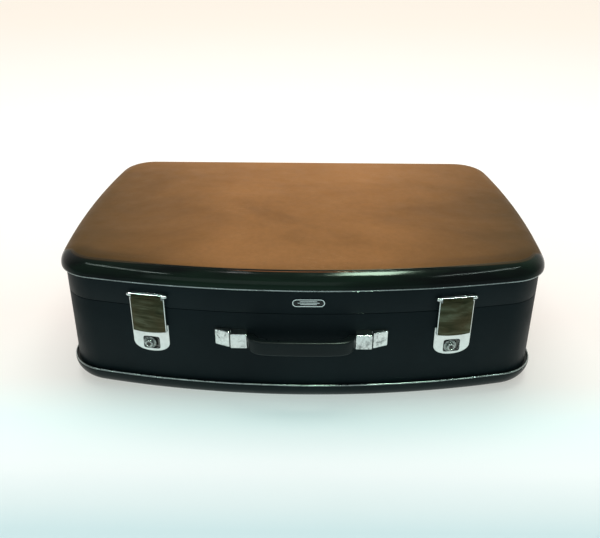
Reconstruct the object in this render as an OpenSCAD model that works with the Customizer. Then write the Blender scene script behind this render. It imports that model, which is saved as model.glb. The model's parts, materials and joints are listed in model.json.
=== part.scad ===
// Hard-sided travelling case: bowed front, rolled panels, two key locks and a pivoting carrying handle.
// Frame: origin on the floor under the middle of the case, X along its length, Y from the bowed front
// to the straight hinged back, Z up. Millimetres.

/* [Case] */
// Length over the rims
case_length = 600; // [580:1:640]
// Depth over the rims, from the middle of the bowed front to the straight back
case_depth = 426; // [410:1:450]
// Height of the seam between base and lid
seam_z = 120; // [118:1:130]
// Height of the lid from the seam to the top of its rolled edge
lid_height = 53; // [52:1:60]
// Rise of the crowned lid above its rolled edge
lid_crown = 5; // [2:0.5:8]
// How far the front bows out between its corners
front_bow = 38; // [32:1:44]
// How far each side bows out between its corners
side_bow = 12; // [8:1:14]
// Plan radius of the front corners
front_corner = 52; // [46:1:58]
// Plan radius of the back corners
back_corner = 48; // [44:1:54]

/* [Panels and walls] */
// How far the rims of the two panels stand out past the walls
rim = 5; // [5:0.5:6]
// Height of the base panel's rolled edge
base_roll_h = 23; // [22:1:25]
// How far the base panel's rolled edge curves in
base_roll_w = 25; // [24:1:28]
// Height of the lid panel's rolled edge
lid_roll_h = 20; // [20:1:22]
// How far the lid panel's rolled edge curves in
lid_roll_w = 26; // [24:1:28]
// Thickness of the wall strips
wall = 4; // [3.8:0.1:4.2]
// Thickness of the fibre panels
board = 3; // [2.6:0.1:3.4]
// Radius of the bright piping under and over the rims
piping_r = 1.4; // [1.2:0.1:1.5]
// Gap along the seam
seam_gap = 0.4; // [0.4:0.1:0.8]

/* [Locks] */
// Distance between the lock centres, measured along the bowed front
lock_spacing = 356; // [340:1:380]
// Width of the lock plates
lock_w = 44.6; // [43:0.2:46]
// Height of the lowest point of the lock plates
lock_low = 60.5; // [58:0.5:62]
// Width of the hinged hasp covers
hasp_w = 42; // [40:0.5:43]
// Height of the hasp's hinge pin
hasp_axis_z = 136.5; // [136:0.5:138]
// Height of the hasp's lower edge
hasp_low = 88; // [86:0.5:90]
// How far the hasp stands out from the wall
hasp_out = 6.2; // [6:0.1:7]
// Diameter of the sliding knob's flange
knob_d = 15.2; // [14.4:0.2:15.4]
// Travel of the sliding knob
knob_travel = 4; // [3:0.5:4]

/* [Handle] */
// Distance between the inner faces of the two pivot housings
handle_span = 124; // [118:1:128]
// Length of each pivot housing
housing_l = 19.5; // [18:0.5:20]
// Height of the handle's pivot axis
handle_z = 89.2; // [88:0.2:90]
// How far the pivot axis stands out from the wall at the housings
handle_out = 9.8; // [9.6:0.1:10.2]
// Height of the grip
grip_h = 18.6; // [17:0.2:19]
// Thickness of the grip
grip_t = 10; // [9:0.5:11]
// How far the middle of the grip stands out from the pivot axis
grip_reach = 13.6; // [13:0.1:15]
// How far the grip droops below the pivot axis
grip_drop = 1.7; // [0:0.1:2]

/* [Hinges] */
// Distance between the middles of the two back hinges
hinge_spacing = 320; // [280:5:360]
// Length of each hinge
hinge_l = 50; // [46:1:56]
// Radius of the hinge pins
hinge_pin_r = 1.5; // [1.4:0.1:1.6]

/* [Fittings] */
// Width of the plain plate on the lid's front
badge_w = 37; // [34:1:40]
// Height of that plate
badge_h = 9.6; // [9:0.2:11]
// Distance from the hinge axis to the lid stays' anchors
stay_reach = 150; // [140:1:160]
// Width of the stay tapes
stay_w = 18; // [16:1:22]
// Width of the packing straps
strap_w = 25; // [20:1:30]

/* [Hidden] */

// Plan of the wall: a bowed front, bowed sides, a straight back and four round corners.
half_l = case_length / 2 - rim;
half_d = case_depth / 2 - rim;
corner_x = half_l - side_bow;
front_y = -half_d + front_bow;
front_r = (corner_x * corner_x + front_bow * front_bow) / (2 * front_bow);
front_c = [0, front_r - half_d];
side_half = (half_d - front_y) / 2;
side_r = (side_half * side_half + side_bow * side_bow) / (2 * side_bow);
side_c = [half_l - side_r, half_d - side_half];

// Where circles of radius r0 about c0 and r1 about c1 cross, to the right of the line from c0 to c1
function crossing(c0, r0, c1, r1) =
    let (d = norm(c1 - c0), u = (c1 - c0) / d, a = (r0 * r0 - r1 * r1 + d * d) / (2 * d))
    c0 + a * u + sqrt(r0 * r0 - a * a) * [u.y, -u.x];
function heading(v) = atan2(v.y, v.x);
function arc(c, r, a0, a1, n, first = 0) =
    [for (i = [first : n]) let (a = a0 + (a1 - a0) * i / n) c + r * [cos(a), sin(a)]];

corner_fc = crossing(side_c, side_r - front_corner, front_c, front_r - front_corner);
back_y = half_d - back_corner;
corner_bc = [side_c.x + sqrt(pow(side_r - back_corner, 2) - pow(back_y - side_c.y, 2)), back_y];
front_end = heading(corner_fc - front_c);
side_start = heading(corner_fc - side_c);
side_end = heading(corner_bc - side_c);

// Right half of the plan, o outside the wall's outer face, from the middle of the front to the back corner
function half_outline(o) = concat(
    arc(front_c, front_r + o, -90, front_end, 12),
    arc(corner_fc, front_corner + o, front_end, side_start, 8, 1),
    arc(side_c, side_r + o, side_start, side_end, 10, 1),
    arc(corner_bc, back_corner + o, side_end, 90, 8, 1)
);
function outline(o) =
    let (h = half_outline(o))
    concat(h, [for (i = [len(h) - 1 : -1 : 1]) [-h[i].x, h[i].y]]);

// One level of a swept panel: the plan at offset o and height z, drawn in towards the middle by k
function ring(o, z, k = 1) = [for (p = outline(o)) [p.x * k, p.y * k, z]];

// Closed solid through rings with equal numbers of points; flat caps close both ends
module loft(rings) {
    n = len(rings[0]);
    m = len(rings);
    polyhedron(
        points = [for (r = rings) each r],
        faces = concat(
            [[for (i = [0 : n - 1]) i]],
            [for (j = [0 : m - 2], i = [0 : n - 1])
                let (k = (i + 1) % n) [j * n + i, (j + 1) * n + i, (j + 1) * n + k, j * n + k]],
            [[for (i = [n - 1 : -1 : 0]) (m - 1) * n + i]]
        )
    );
}

// Closed hoop: a section of [offset, height] points carried all round the plan
module hoop(section) {
    n = len(outline(0));
    m = len(section);
    polyhedron(
        points = [for (s = section) each ring(s[0], s[1])],
        faces = [for (j = [0 : m - 1], i = [0 : n - 1])
            let (k = (i + 1) % n, l = (j + 1) % m) [j * n + i, l * n + i, l * n + k, j * n + k]]
    );
}

// Upright strip that follows the plan between two offsets and two heights
module strip(outer, inner, z0, z1) {
    translate([0, 0, z0]) linear_extrude(z1 - z0) difference() {
        polygon(outline(outer));
        polygon(outline(inner));
    }
}

// Places a piece on the front wall: s is the distance along the bow from its middle.
// Local X runs along the wall, local Y points into the case and local Z is up.
module on_front(s, z = 0) {
    a = s / front_r * 180 / PI;
    translate([front_r * sin(a), front_c.y - front_r * cos(a), z]) rotate([0, 0, a]) children();
}

// Extrudes a drawing made in the local X and Z directions outwards from the wall
module outwards(t, from = 0) {
    translate([0, -from, 0]) rotate([90, 0, 0]) linear_extrude(t) children();
}

// Rounded rectangle about the origin as points, drawn in by i
function rounded(w, h, r, i = 0) = [
    for (q = [0 : 3], s = [0 : 4])
        let (a = 90 * q + 22.5 * s, right = q == 0 || q == 3 ? 1 : -1, up = q < 2 ? 1 : -1)
        [(w / 2 - r) * right, (h / 2 - r) * up] + max(r - i, 0.05) * [cos(a), sin(a)]
];
function upright(points, y, lean) = [for (p = points) [p.x, y + lean * p.x, p.y]];

// Plate with a rounded front edge: shape is a function of how far it is drawn in.
// Its back and its face may lean, so that they go in by that much for each millimetre along X.
module cushion_plate(shape, t, edge, from = 0, back_lean = 0, face_lean = 0) {
    face = -from - t;
    loft([
        upright(shape(0), -from, back_lean),
        upright(shape(0), face + edge, face_lean),
        for (a = [30, 60, 90]) upright(shape(edge * (1 - cos(a))), face + edge * (1 - sin(a)), face_lean)
    ]);
}

// Round-headed rivet through t of material: head outwards
module rivet(r, t) {
    rotate([90, 0, 0]) union() {
        translate([0, 0, -t]) cylinder(r = r, h = t, $fn = 24);
        rotate_extrude($fn = 32)
            polygon([[0, 0], for (a = [0 : 15 : 90]) [1.9 * r * cos(a), 0.75 * r * sin(a)]]);
    }
}

// Panels ------------------------------------------------------------------
fit_gap = 0.3;
lid_lip_z = seam_z + lid_height - lid_roll_h;
lid_edge_z = seam_z + lid_height;
lid_roll_in = rim - lid_roll_w;
base_roll_in = rim - base_roll_w;
nest = 7;

module base_panel() {
    color("#17191a") loft([
        for (a = [90 : -15 : 0]) ring(base_roll_in + base_roll_w * cos(a), base_roll_h * (1 - sin(a))),
        ring(fit_gap, base_roll_h),
        for (a = [0 : 18 : 90])
            ring(base_roll_in + (fit_gap - base_roll_in) * cos(a),
                base_roll_h - nest - 1 - (base_roll_h - nest - 1 - board) * sin(a))
    ]);
}

module lid_panel() {
    inner_z = lid_lip_z + nest;
    color("#6b4a2c") loft([
        for (k = [0.05, 0.35, 0.65, 0.85]) ring(lid_roll_in, lid_edge_z - board + lid_crown * (1 - k * k), k),
        for (a = [90 : -18 : 0])
            ring(lid_roll_in + (fit_gap - lid_roll_in) * cos(a),
                inner_z + (lid_edge_z - board - inner_z) * sin(a)),
        ring(fit_gap, lid_lip_z),
        for (a = [0 : 15 : 90]) ring(lid_roll_in + lid_roll_w * cos(a), lid_lip_z + lid_roll_h * sin(a)),
        for (k = [0.93, 0.85, 0.65, 0.35, 0.05]) ring(lid_roll_in, lid_edge_z + lid_crown * (1 - k * k), k)
    ]);
}

function bead(o, z) = [for (a = [0 : 45 : 315]) [o + piping_r * cos(a), z + piping_r * sin(a)]];
piping_o = rim - piping_r + 0.2;

module base_piping() {
    color("#d8dad6") hoop(bead(piping_o, base_roll_h + piping_r + 0.05));
}

module lid_piping() {
    color("#d8dad6") hoop(bead(piping_o, lid_lip_z - piping_r - 0.05));
}

// Walls -------------------------------------------------------------------
wall_top = seam_z - seam_gap / 2;
wall_low = base_roll_h - nest;
lid_wall_low = seam_z + seam_gap / 2;
catch_z = 94;
catch_gap = 5;
case_w = 28;
case_low = 65.5;
case_high = 96;
left = -lock_spacing / 2;
right = lock_spacing / 2;
lock_s = [left, right];

// Rivets and pins: each row lies dx to either side of the middle of the piece that it holds
plate_rivet_r = 1.4;
lock_rivet_x = [-16.6, 16.6];
lock_rivet_z = 93;
hasp_rivet_x = [-12, 12];
hasp_rivet_z = 127.5;
plate_l = 18;
plate_h = 20;
plate_gap = 0.5;
plate_s = handle_span / 2 + housing_l + plate_l / 2 + plate_gap;
handle_rivet_x = [-4.5, 4.5];
handle_rivet_depth = 3.6;
hinge_x = [-hinge_spacing / 2, hinge_spacing / 2];
hinge_rivet_x = [-17, 0, 17];
hinge_rivet_z = 16;
module front_rivet_holes(row, h) {
    for (dx = row) translate([dx, 0, 0]) rotate([90, 0, 0])
        cylinder(r = plate_rivet_r, h = h, center = true, $fn = 24);
}
module back_rivet_holes(z) {
    for (x = hinge_x, dx = hinge_rivet_x) translate([x + dx, half_d, z]) rotate([90, 0, 0])
        cylinder(r = plate_rivet_r, h = 3 * wall, center = true, $fn = 24);
}

module base_wall() {
    color("#191c1e") difference() {
        strip(0, -wall, wall_low, wall_top);
        for (s = lock_s) on_front(s) {
            translate([-case_w / 2 - 0.1, -wall, case_low - 0.1])
                cube([case_w + 0.2, 3 * wall, case_high - case_low + 0.2]);
            translate([-catch_gap / 2, -wall, case_high]) cube([catch_gap, 3 * wall, seam_z]);
        }
        for (s = lock_s) on_front(s, lock_rivet_z) front_rivet_holes(lock_rivet_x, 3 * wall);
        for (k = [-1, 1]) on_front(k * plate_s, handle_z) front_rivet_holes(handle_rivet_x, 3 * wall);
        back_rivet_holes(seam_z - hinge_rivet_z);
    }
}

module lid_wall() {
    color("#191c1e") difference() {
        strip(0, -wall, lid_wall_low, lid_lip_z + nest - 0.5);
        for (s = lock_s) on_front(s, hasp_rivet_z) front_rivet_holes(hasp_rivet_x, 3 * wall);
        back_rivet_holes(seam_z + hinge_rivet_z);
    }
}

// Bright strip inside the base's mouth; it stands above the seam and steers the lid into place
strip_low = 101;
strip_high = seam_z + 8;
strip_out = -wall - 0.3;
strip_in = -wall - 1.5;
module closing_strip() {
    color("#b9b6ab") difference() {
        strip(strip_out, strip_in, strip_low, strip_high);
        for (s = lock_s) on_front(s)
            translate([-catch_gap / 2, -wall, strip_low]) cube([catch_gap, 4 * wall, strip_high]);
    }
}

// Linings -----------------------------------------------------------------
skin = 1;
lining_o = -wall - 0.2;
lining_round_z = wall_low - 1;

module base_lining() {
    floor_z = board + 0.3;
    color("#b79b74") difference() {
        loft([
            for (a = [90 : -18 : 0])
                ring(base_roll_in + (lining_o - base_roll_in) * cos(a),
                    lining_round_z - (lining_round_z - floor_z) * sin(a)),
            ring(lining_o, strip_low - 0.5),
            ring(lining_o - skin, strip_low - 0.5),
            for (a = [0 : 18 : 90])
                ring(base_roll_in + (lining_o - skin - base_roll_in) * cos(a),
                    lining_round_z - (lining_round_z - floor_z - skin) * sin(a))
        ]);
        for (s = lock_s) on_front(s) translate([-case_w / 2 - 0.3, 0, case_low - 0.3])
            cube([case_w + 0.6, 5 * wall, case_high - case_low + 0.6]);
    }
}

module lid_lining() {
    top_z = lid_edge_z - board - 0.4;
    round_z = lid_lip_z + nest;
    low_z = strip_high + 1.5;
    color("#b79b74") loft([
        for (k = [0.05, 0.35, 0.65, 0.85]) ring(lid_roll_in, top_z - skin + lid_crown * (1 - k * k), k),
        for (a = [90 : -18 : 0])
            ring(lid_roll_in + (lining_o - skin - lid_roll_in) * cos(a),
                round_z + (top_z - skin - round_z) * sin(a)),
        ring(lining_o - skin, low_z),
        ring(lining_o, low_z),
        for (a = [0 : 18 : 90])
            ring(lid_roll_in + (lining_o - lid_roll_in) * cos(a), round_z + (top_z - round_z) * sin(a)),
        for (k = [0.93, 0.85, 0.65, 0.35, 0.05]) ring(lid_roll_in, top_z + lid_crown * (1 - k * k), k)
    ]);
}

// Gathered pocket across the hinge side of the lid's inside
pocket_w = 470;
pocket_y = [28, 178];
pocket_t = 7;
module lid_pocket() {
    z = lid_edge_z - board - skin - 1 - pocket_t;
    color("#a98c66") translate([-pocket_w / 2, pocket_y[0], z])
        cube([pocket_w, pocket_y[1] - pocket_y[0], pocket_t]);
}

// Packing straps lie on the floor of the base, each with its buckle near the middle
strap_x = [-135, 135];
strap_z = board + skin + 0.6;
strap_t = 2;
strap_y = [-158, 188];
buckle_y = -20;
buckle = [strap_w + 8, 22, 2.4];
buckle_bar = 5;
buckle_window = 5.5;
module packing_strap(x) {
    gap = buckle_bar + 0.2;
    color("#6a5238") translate([x - strap_w / 2, 0, strap_z]) difference() {
        translate([0, strap_y[0], 0]) cube([strap_w, strap_y[1] - strap_y[0], strap_t]);
        translate([-1, buckle_y - gap / 2, -1]) cube([strap_w + 2, gap, strap_t + 2]);
    }
}

// A frame with a window on each side of its middle bar, and room below for the strap's two ends
module strap_buckles() {
    clear = 0.1;
    bar_end = buckle_bar / 2 + clear;
    room = [strap_w + 4 * clear, buckle.y, strap_t + clear + 1];
    window = [strap_w + 1, buckle_window, buckle.z + 2];
    color("#c8c8c4") for (x = strap_x) translate([x, buckle_y, strap_z]) difference() {
        translate([-buckle.x / 2, -buckle.y / 2, 0]) cube(buckle);
        for (k = [0, 1]) mirror([0, k, 0]) {
            translate([-window.x / 2, buckle_bar / 2, -1]) cube(window);
            translate([-room.x / 2, bar_end, -1]) cube(room);
        }
    }
}

// Plates that hold the straps' outer ends to the floor, each with two rivet holes
anchor = [strap_w, 8, 1];
anchor_inset = 9;
module strap_anchors() {
    color("#c8c8c4") for (x = strap_x, y = [strap_y[0] + anchor_inset, strap_y[1] - anchor_inset])
        translate([x, y, strap_z + strap_t]) difference() {
            translate([-anchor.x / 2, -anchor.y / 2, 0]) cube(anchor);
            for (dx = [-8, 8]) translate([dx, 0, -1]) cylinder(r = 1.2, h = anchor.z + 2, $fn = 20);
        }
}

// Hinges ------------------------------------------------------------------
hinge_y = half_d + 4.5;
knuckle_r = 3;
leaf_t = 1.2;
leaf_h = 24;
knuckles = 5;
hinge_play = 0.15;

// One leaf: up is 1 for the lid's leaf and -1 for the base's, turn says which knuckles it has
module hinge_leaf(x, up, turn) {
    step = hinge_l / knuckles;
    reach = seam_gap / 2 + 0.2;
    color("#b4b6b4") translate([x, 0, seam_z]) difference() {
        union() {
            mirror([0, 0, up > 0 ? 0 : 1]) difference() {
                translate([0, half_d + leaf_t, reach + leaf_h / 2]) rotate([90, 0, 0])
                    linear_extrude(leaf_t) polygon(rounded(hinge_l, leaf_h, 4));
                translate([-hinge_l, half_d - 1, reach - 1]) cube([2 * hinge_l, 4, 1.2]);
            }
            for (i = [turn : 2 : knuckles - 1]) translate([-hinge_l / 2 + i * step + hinge_play, 0, 0]) {
                translate([0, hinge_y, 0]) rotate([0, 90, 0])
                    cylinder(r = knuckle_r, h = step - 2 * hinge_play, $fn = 48);
                translate([0, half_d, up > 0 ? reach : -reach - 2])
                    cube([step - 2 * hinge_play, hinge_y - half_d - 1, 2]);
            }
        }
        translate([-hinge_l, hinge_y, 0]) rotate([0, 90, 0])
            cylinder(r = hinge_pin_r + (up > 0 ? 0 : 0.05), h = 2 * hinge_l, $fn = 48);
        for (dx = hinge_rivet_x) translate([dx, half_d, up * hinge_rivet_z]) rotate([90, 0, 0])
            cylinder(r = plate_rivet_r, h = 4 * leaf_t, center = true, $fn = 24);
    }
}
module hinge_pin(x) {
    color("#cfd0cc") translate([x - hinge_l / 2 - 0.6, hinge_y, seam_z]) rotate([0, 90, 0]) union() {
        cylinder(r = hinge_pin_r, h = hinge_l + 1.2, $fn = 48);
        for (z = [-0.8, hinge_l + 0.7]) translate([0, 0, z]) cylinder(r = 2.2, h = 1.1, $fn = 32);
    }
}
module hinge_rivets(z) {
    color("#c9cac6") for (x = hinge_x, dx = hinge_rivet_x)
        translate([x + dx, half_d + leaf_t, z]) rotate([0, 0, 180]) rivet(plate_rivet_r, leaf_t + wall);
}

// Locks -------------------------------------------------------------------
plate_t = 2;
plate_top = 98;
plate_side_z = 74;
foot_power = 2.2;
plate_notch_z = 89;
knob_z = 72.5;
slot_w = knob_d + knob_travel + 1;
slot_h = knob_d + 1.2;
knob_x = -knob_travel / 2;
shank_r = 4.2;
barrel_r = 2.9;
running = 0.05;

// Lock plate outline: straight sides that run into a broad round foot
function lock_shape(i) =
    let (a = lock_w / 2 - i, b = plate_side_z - lock_low - i, e = 2 / foot_power)
    concat([[a, plate_top - i], [-a, plate_top - i]],
        [for (t = [180 : 7.5 : 360])
            [a * sign(cos(t)) * pow(abs(cos(t)), e), plate_side_z - b * pow(abs(sin(t)), e)]]);

module lock_plate(s) {
    color("#e6e8e6") on_front(s) difference() {
        cushion_plate(function (i) lock_shape(i), plate_t, 0.8);
        outwards(3 * plate_t, -plate_t) translate([0, knob_z])
            polygon(rounded(slot_w, slot_h, slot_h / 2 - 0.01));
        translate([-catch_gap / 2, -2 * plate_t, plate_notch_z]) cube([catch_gap, 3 * plate_t, plate_top]);
        translate([0, 0, lock_rivet_z]) front_rivet_holes(lock_rivet_x, 5 * plate_t);
    }
}

// Pressed tray let into the wall behind the plate: it carries the bolt and shuts off the slot.
// The catch drops into it through a gap that is open at the top.
case_depth_in = 9;
module lock_case(s) {
    t = 1;
    color("#3a3c3a") on_front(s) difference() {
        translate([-case_w / 2, 0.3, case_low]) cube([case_w, case_depth_in, case_high - case_low]);
        translate([-case_w / 2 + t, 0.3 + t, case_low + t])
            cube([case_w - 2 * t, case_depth_in - 2 * t, case_high - case_low - 2 * t]);
        translate([knob_x - shank_r - 0.4, -1, knob_z - shank_r - 0.4])
            cube([knob_travel + 2 * shank_r + 0.8, 3, 2 * shank_r + 0.8]);
        translate([-catch_gap / 2, -1, plate_notch_z]) cube([catch_gap, 5.2, case_high]);
    }
}

// The bolt's finger stands just beside the catch
bolt_l = 14;
module lock_bolt(s) {
    color("#8d8f8c") on_front(s) difference() {
        union() {
            translate([knob_x - bolt_l / 2, 2.6, knob_z - 5.5]) cube([bolt_l, 1.6, 10.5]);
            translate([2.9, 2.6, knob_z]) cube([3, 1.6, case_high - 1.4 - knob_z]);
        }
        translate([knob_x, 0, knob_z]) rotate([90, 0, 0])
            cylinder(r = shank_r, h = 20, center = true, $fn = 48);
    }
}

// Folded strip spring between the bolt and the side of the tray
module lock_spring(s) {
    x0 = knob_x + bolt_l / 2 + 0.2;
    x1 = case_w / 2 - 1.2;
    folds = 6;
    w = 0.35;
    path = [for (i = [0 : folds]) [x0 + w + (x1 - x0 - 2 * w) * i / folds, (i % 2 == 0 ? 2.4 : -2.4)]];
    near = [for (p = path) [p.x - w, p.y]];
    far = [for (i = [folds : -1 : 0]) [path[i].x + w, path[i].y]];
    color("#9a9c99") on_front(s) translate([0, 5.4, knob_z - 2.9]) rotate([90, 0, 0])
        linear_extrude(2) polygon(concat(near, far));
}

module lock_rivets() {
    color("#d9dbd8") for (s = lock_s, dx = lock_rivet_x)
        on_front(s, lock_rivet_z) translate([dx, -plate_t, 0]) rivet(plate_rivet_r, plate_t + wall);
}

// Knob: a flange with a raised lip, a dished groove and a boss that holds the key barrel.
// Its shank runs in the plate's slot and ends behind the bolt; the flange stays clear of the wall.
knob_face = 6.8;
knob_back = 0.4;
shank_l = 4.4;
boss_r = 4.9;
module lock_knob(s) {
    r = knob_d / 2;
    lip = 3;
    groove = 2;
    color("#dfe1de") on_front(s) translate([knob_x, 0, knob_z]) rotate([90, 0, 0]) difference() {
        rotate_extrude($fn = 64) polygon([
            [0, -shank_l], [shank_r, -shank_l], [shank_r, knob_back], [r, knob_back], [r, lip - 0.7],
            [r - 0.2, lip - 0.2], [r - 0.6, lip], [r - 1.0, lip - 0.2], [r - 1.3, lip - 0.7],
            [r - 1.8, groove], [boss_r + 0.5, groove], [boss_r + 0.1, groove + 0.6],
            [boss_r, knob_face - 0.9], [boss_r - 0.3, knob_face - 0.3], [boss_r - 0.9, knob_face],
            [0, knob_face]
        ]);
        cylinder(r = barrel_r + running, h = 30, center = true, $fn = 48);
    }
}
// Key barrel: it turns in the knob, held by a collar behind the shank, and has a keyhole
barrel_back = 5.8;
keyhole_r = 0.95;
keyhole_depth = 3;
module key_barrel(s) {
    face = knob_face - 0.3;
    color("#c4c6c2") on_front(s) translate([knob_x, 0, knob_z]) rotate([90, 0, 0]) difference() {
        translate([0, 0, -barrel_back]) union() {
            cylinder(r = barrel_r, h = barrel_back + face, $fn = 48);
            cylinder(r = barrel_r + 0.9, h = 1, $fn = 48);
        }
        translate([0, 0, face - keyhole_depth]) {
            translate([0, keyhole_r, 0]) cylinder(r = keyhole_r, h = keyhole_depth + 1, $fn = 24);
            translate([-keyhole_r / 2, -2.1, 0]) cube([keyhole_r, 3, keyhole_depth + 1]);
        }
    }
}

// Hasps -------------------------------------------------------------------
hasp_axis_y = -3.6;
barrel_end = 18.2;
hasp_barrel_r = 2.2;
lug_r = 2.6;
hasp_pin_r = 1.1;
sheet = 1.2;
hasp_foot_r = 125;

// Cover section across the lock: a shallow arc with two returned sides, w wide each way
crown = 0.7;
corner = 1.5;
function cover_line(w, out) = concat(
    [[w, -2.4]],
    [for (a = [0 : 22.5 : 67.5]) [w - corner * (1 - cos(a)), -out + crown + corner * (1 - sin(a))]],
    [for (u = [1 : -0.125 : 0]) [(w - corner) * u, -out + crown * u * u]]
);
function mirrored(list) = concat(list, [for (i = [len(list) - 2 : -1 : 0]) [-list[i].x, list[i].y]]);

module hasp(s) {
    w = hasp_w / 2;
    top = hasp_axis_z - 2.9;
    outer = mirrored(cover_line(w, hasp_out));
    inner = mirrored(cover_line(w - sheet, hasp_out - sheet));
    color("#c9cbc6") on_front(s) difference() {
        union() {
            intersection() {
                translate([0, 0, hasp_low]) linear_extrude(top - hasp_low)
                    polygon(concat(outer, [for (i = [len(inner) - 1 : -1 : 0]) inner[i]]));
                translate([0, 1, hasp_low + hasp_foot_r]) rotate([90, 0, 0])
                    cylinder(r = hasp_foot_r, h = 20, $fn = 360);
            }
            translate([-barrel_end, -hasp_out + 0.15, top - 0.6]) cube([2 * barrel_end, sheet, 3.5]);
            translate([-barrel_end, hasp_axis_y, hasp_axis_z]) rotate([0, 90, 0])
                cylinder(r = hasp_barrel_r, h = 2 * barrel_end, $fn = 48);
        }
        translate([-30, hasp_axis_y, hasp_axis_z]) rotate([0, 90, 0])
            cylinder(r = hasp_pin_r + running, h = 60, $fn = 48);
    }
}

// Hook behind each cover that drops into the gap above the bolt: a foot plate and a nose
catch_foot = [16, 1, 13];
catch_nose = [2, 3.2, 5];
module hasp_catch(s) {
    y0 = -hasp_out + sheet + 0.2;
    color("#a9aba8") on_front(s) union() {
        translate([-catch_foot.x / 2, y0, catch_z - 6]) cube(catch_foot);
        translate([-catch_nose.x / 2, y0 + catch_foot.y, catch_z - catch_nose.z / 2])
            cube([catch_nose.x, catch_nose.y - y0 - catch_foot.y, catch_nose.z]);
    }
}

// Mount plate on the lid with a lug at each end of the cover's barrel
lug_end = 22.2;
lug_l = lug_end - barrel_end - 0.2;

module hasp_mount(s) {
    plate = lock_w - 4;
    color("#d5d7d3") on_front(s) difference() {
        union() {
            translate([-plate / 2, -1, lid_wall_low + 1]) cube([plate, 1, hasp_axis_z + 0.5 - lid_wall_low]);
            for (x = [-lug_end, lug_end - lug_l]) translate([x, hasp_axis_y, hasp_axis_z]) {
                rotate([0, 90, 0]) cylinder(r = lug_r, h = lug_l, $fn = 48);
                translate([0, 0, -1.4]) cube([lug_l, -hasp_axis_y, 2.8]);
            }
        }
        translate([-30, hasp_axis_y, hasp_axis_z]) rotate([0, 90, 0])
            cylinder(r = hasp_pin_r, h = 60, $fn = 48);
        translate([0, 0, hasp_rivet_z]) front_rivet_holes(hasp_rivet_x, 6);
    }
}
// Pin with a domed head at each end
pin_head_r = 2.3;
module hasp_pin(s) {
    pin_end = lug_end + 0.1;
    color("#eceeec") on_front(s) translate([0, hasp_axis_y, hasp_axis_z]) rotate([0, 90, 0]) union() {
        cylinder(r = hasp_pin_r, h = 2 * pin_end + 0.2, center = true, $fn = 48);
        for (k = [0, 1]) mirror([0, 0, k]) translate([0, 0, pin_end]) intersection() {
            sphere(r = pin_head_r, $fn = 32);
            translate([-3, -3, 0]) cube([6, 6, 3]);
        }
    }
}
module hasp_rivets() {
    color("#b9bbb8") for (s = lock_s, dx = hasp_rivet_x)
        on_front(s, hasp_rivet_z) translate([dx, -1, 0]) rivet(plate_rivet_r, 1 + wall);
}

// Handle ------------------------------------------------------------------
housing_s = handle_span / 2 + housing_l / 2;
housing_a = housing_s / front_r * 180 / PI;
handle_y = front_c.y - front_r * cos(housing_a) - handle_out;
pin_r = 2;
housing_out = handle_out + 3.4;
housing_h = 18.8;

tab_t = 0.8;

// The housing's face stands square to the pivot and its back follows the wall. A tab runs from it
// under the outer plate, which is pinned through it.
module handle_housing(side) {
    tab_l = plate_l + 4;
    color("#e2e4e1") difference() {
        union() {
            translate([side * housing_s, handle_y + handle_out, handle_z])
                cushion_plate(function (i) rounded(housing_l, housing_h, 1.6, i), housing_out, 1.2,
                    back_lean = side * tan(housing_a));
            on_front(side * plate_s, handle_z) translate([-side * 2.8, 0, 0])
                outwards(tab_t) square([tab_l, plate_h - 5], center = true);
        }
        translate([side * (housing_s - 2), handle_y, handle_z]) rotate([0, 90, 0])
            cylinder(r = pin_r + running, h = housing_l, center = true, $fn = 48);
        on_front(side * plate_s, handle_z) front_rivet_holes(handle_rivet_x, 4 * tab_t);
    }
}

// Outer plates are wedges, thicker towards the housings
plate_out = 7.5;
plate_slope = 0.33;
module handle_plate(side) {
    color("#e2e4e1") on_front(side * plate_s, handle_z) difference() {
        cushion_plate(function (i) rounded(plate_l, plate_h, 1.4, i), plate_out - tab_t, 1.0, tab_t,
            face_lean = side * plate_slope);
        front_rivet_holes(handle_rivet_x, 2 * handle_rivet_depth);
    }
}
// Pins clenched from inside the case, so that the plates' faces stay clean
module handle_rivets() {
    color("#cfd1ce") for (k = [-1, 1], dx = handle_rivet_x) on_front(k * plate_s, handle_z)
        translate([dx, wall, 0]) rotate([90, 0, 0])
            cylinder(r = plate_rivet_r, h = wall + handle_rivet_depth, $fn = 24);
}

// Grip: a rounded bar that swings out from one pivot to the other. Its outer and inner faces rise from the
// ends over short shoulders, and between them it bows a little.
grip_end = handle_span / 2 - 0.6;
grip_stub_out = 4.4;
grip_stub_in = 3.2;
grip_end_loss = 2.6;
function rise(x, end) =
    let (u = min(abs(x) / end, 1)) pow(1 - pow(u, 8), 0.6) * (1 - 0.1 * u * u);
function outer_face(x) = grip_stub_out + (grip_reach + grip_t / 2 - grip_stub_out) * rise(x, grip_end);
function inner_face(x) =
    -grip_stub_in + (grip_reach - grip_t / 2 + grip_stub_in) * rise(x, grip_end - 0.7 * grip_t);
function grip_height(x) = grip_h - grip_end_loss * (1 - rise(x, grip_end));
function grip_section(h, t) =
    let (r = 3.4)
    [for (q = [0 : 3], a = [0 : 22.5 : 90])
        let (c = [(t / 2 - r) * (q == 0 || q == 3 ? 1 : -1), (h / 2 - r) * (q < 2 ? 1 : -1)])
        c + r * [cos(a + 90 * q), sin(a + 90 * q)]];
module handle_grip() {
    steps = 20;
    color("#151718") translate([0, handle_y, handle_z]) loft([
        for (i = [-steps : steps])
            let (x = grip_end * sin(90 * i / steps), o = outer_face(x), n = inner_face(x))
            let (drop = grip_drop * rise(x, grip_end))
            [for (q = grip_section(grip_height(x), o - n)) [x, q.x - (o + n) / 2, q.y - drop]]
    ]);
}
module handle_pin(side) {
    color("#9c9e9b") translate([side * (grip_end + 2), handle_y, handle_z])
        rotate([0, 90, 0]) cylinder(r = pin_r, h = 28, center = true, $fn = 48);
}

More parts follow.
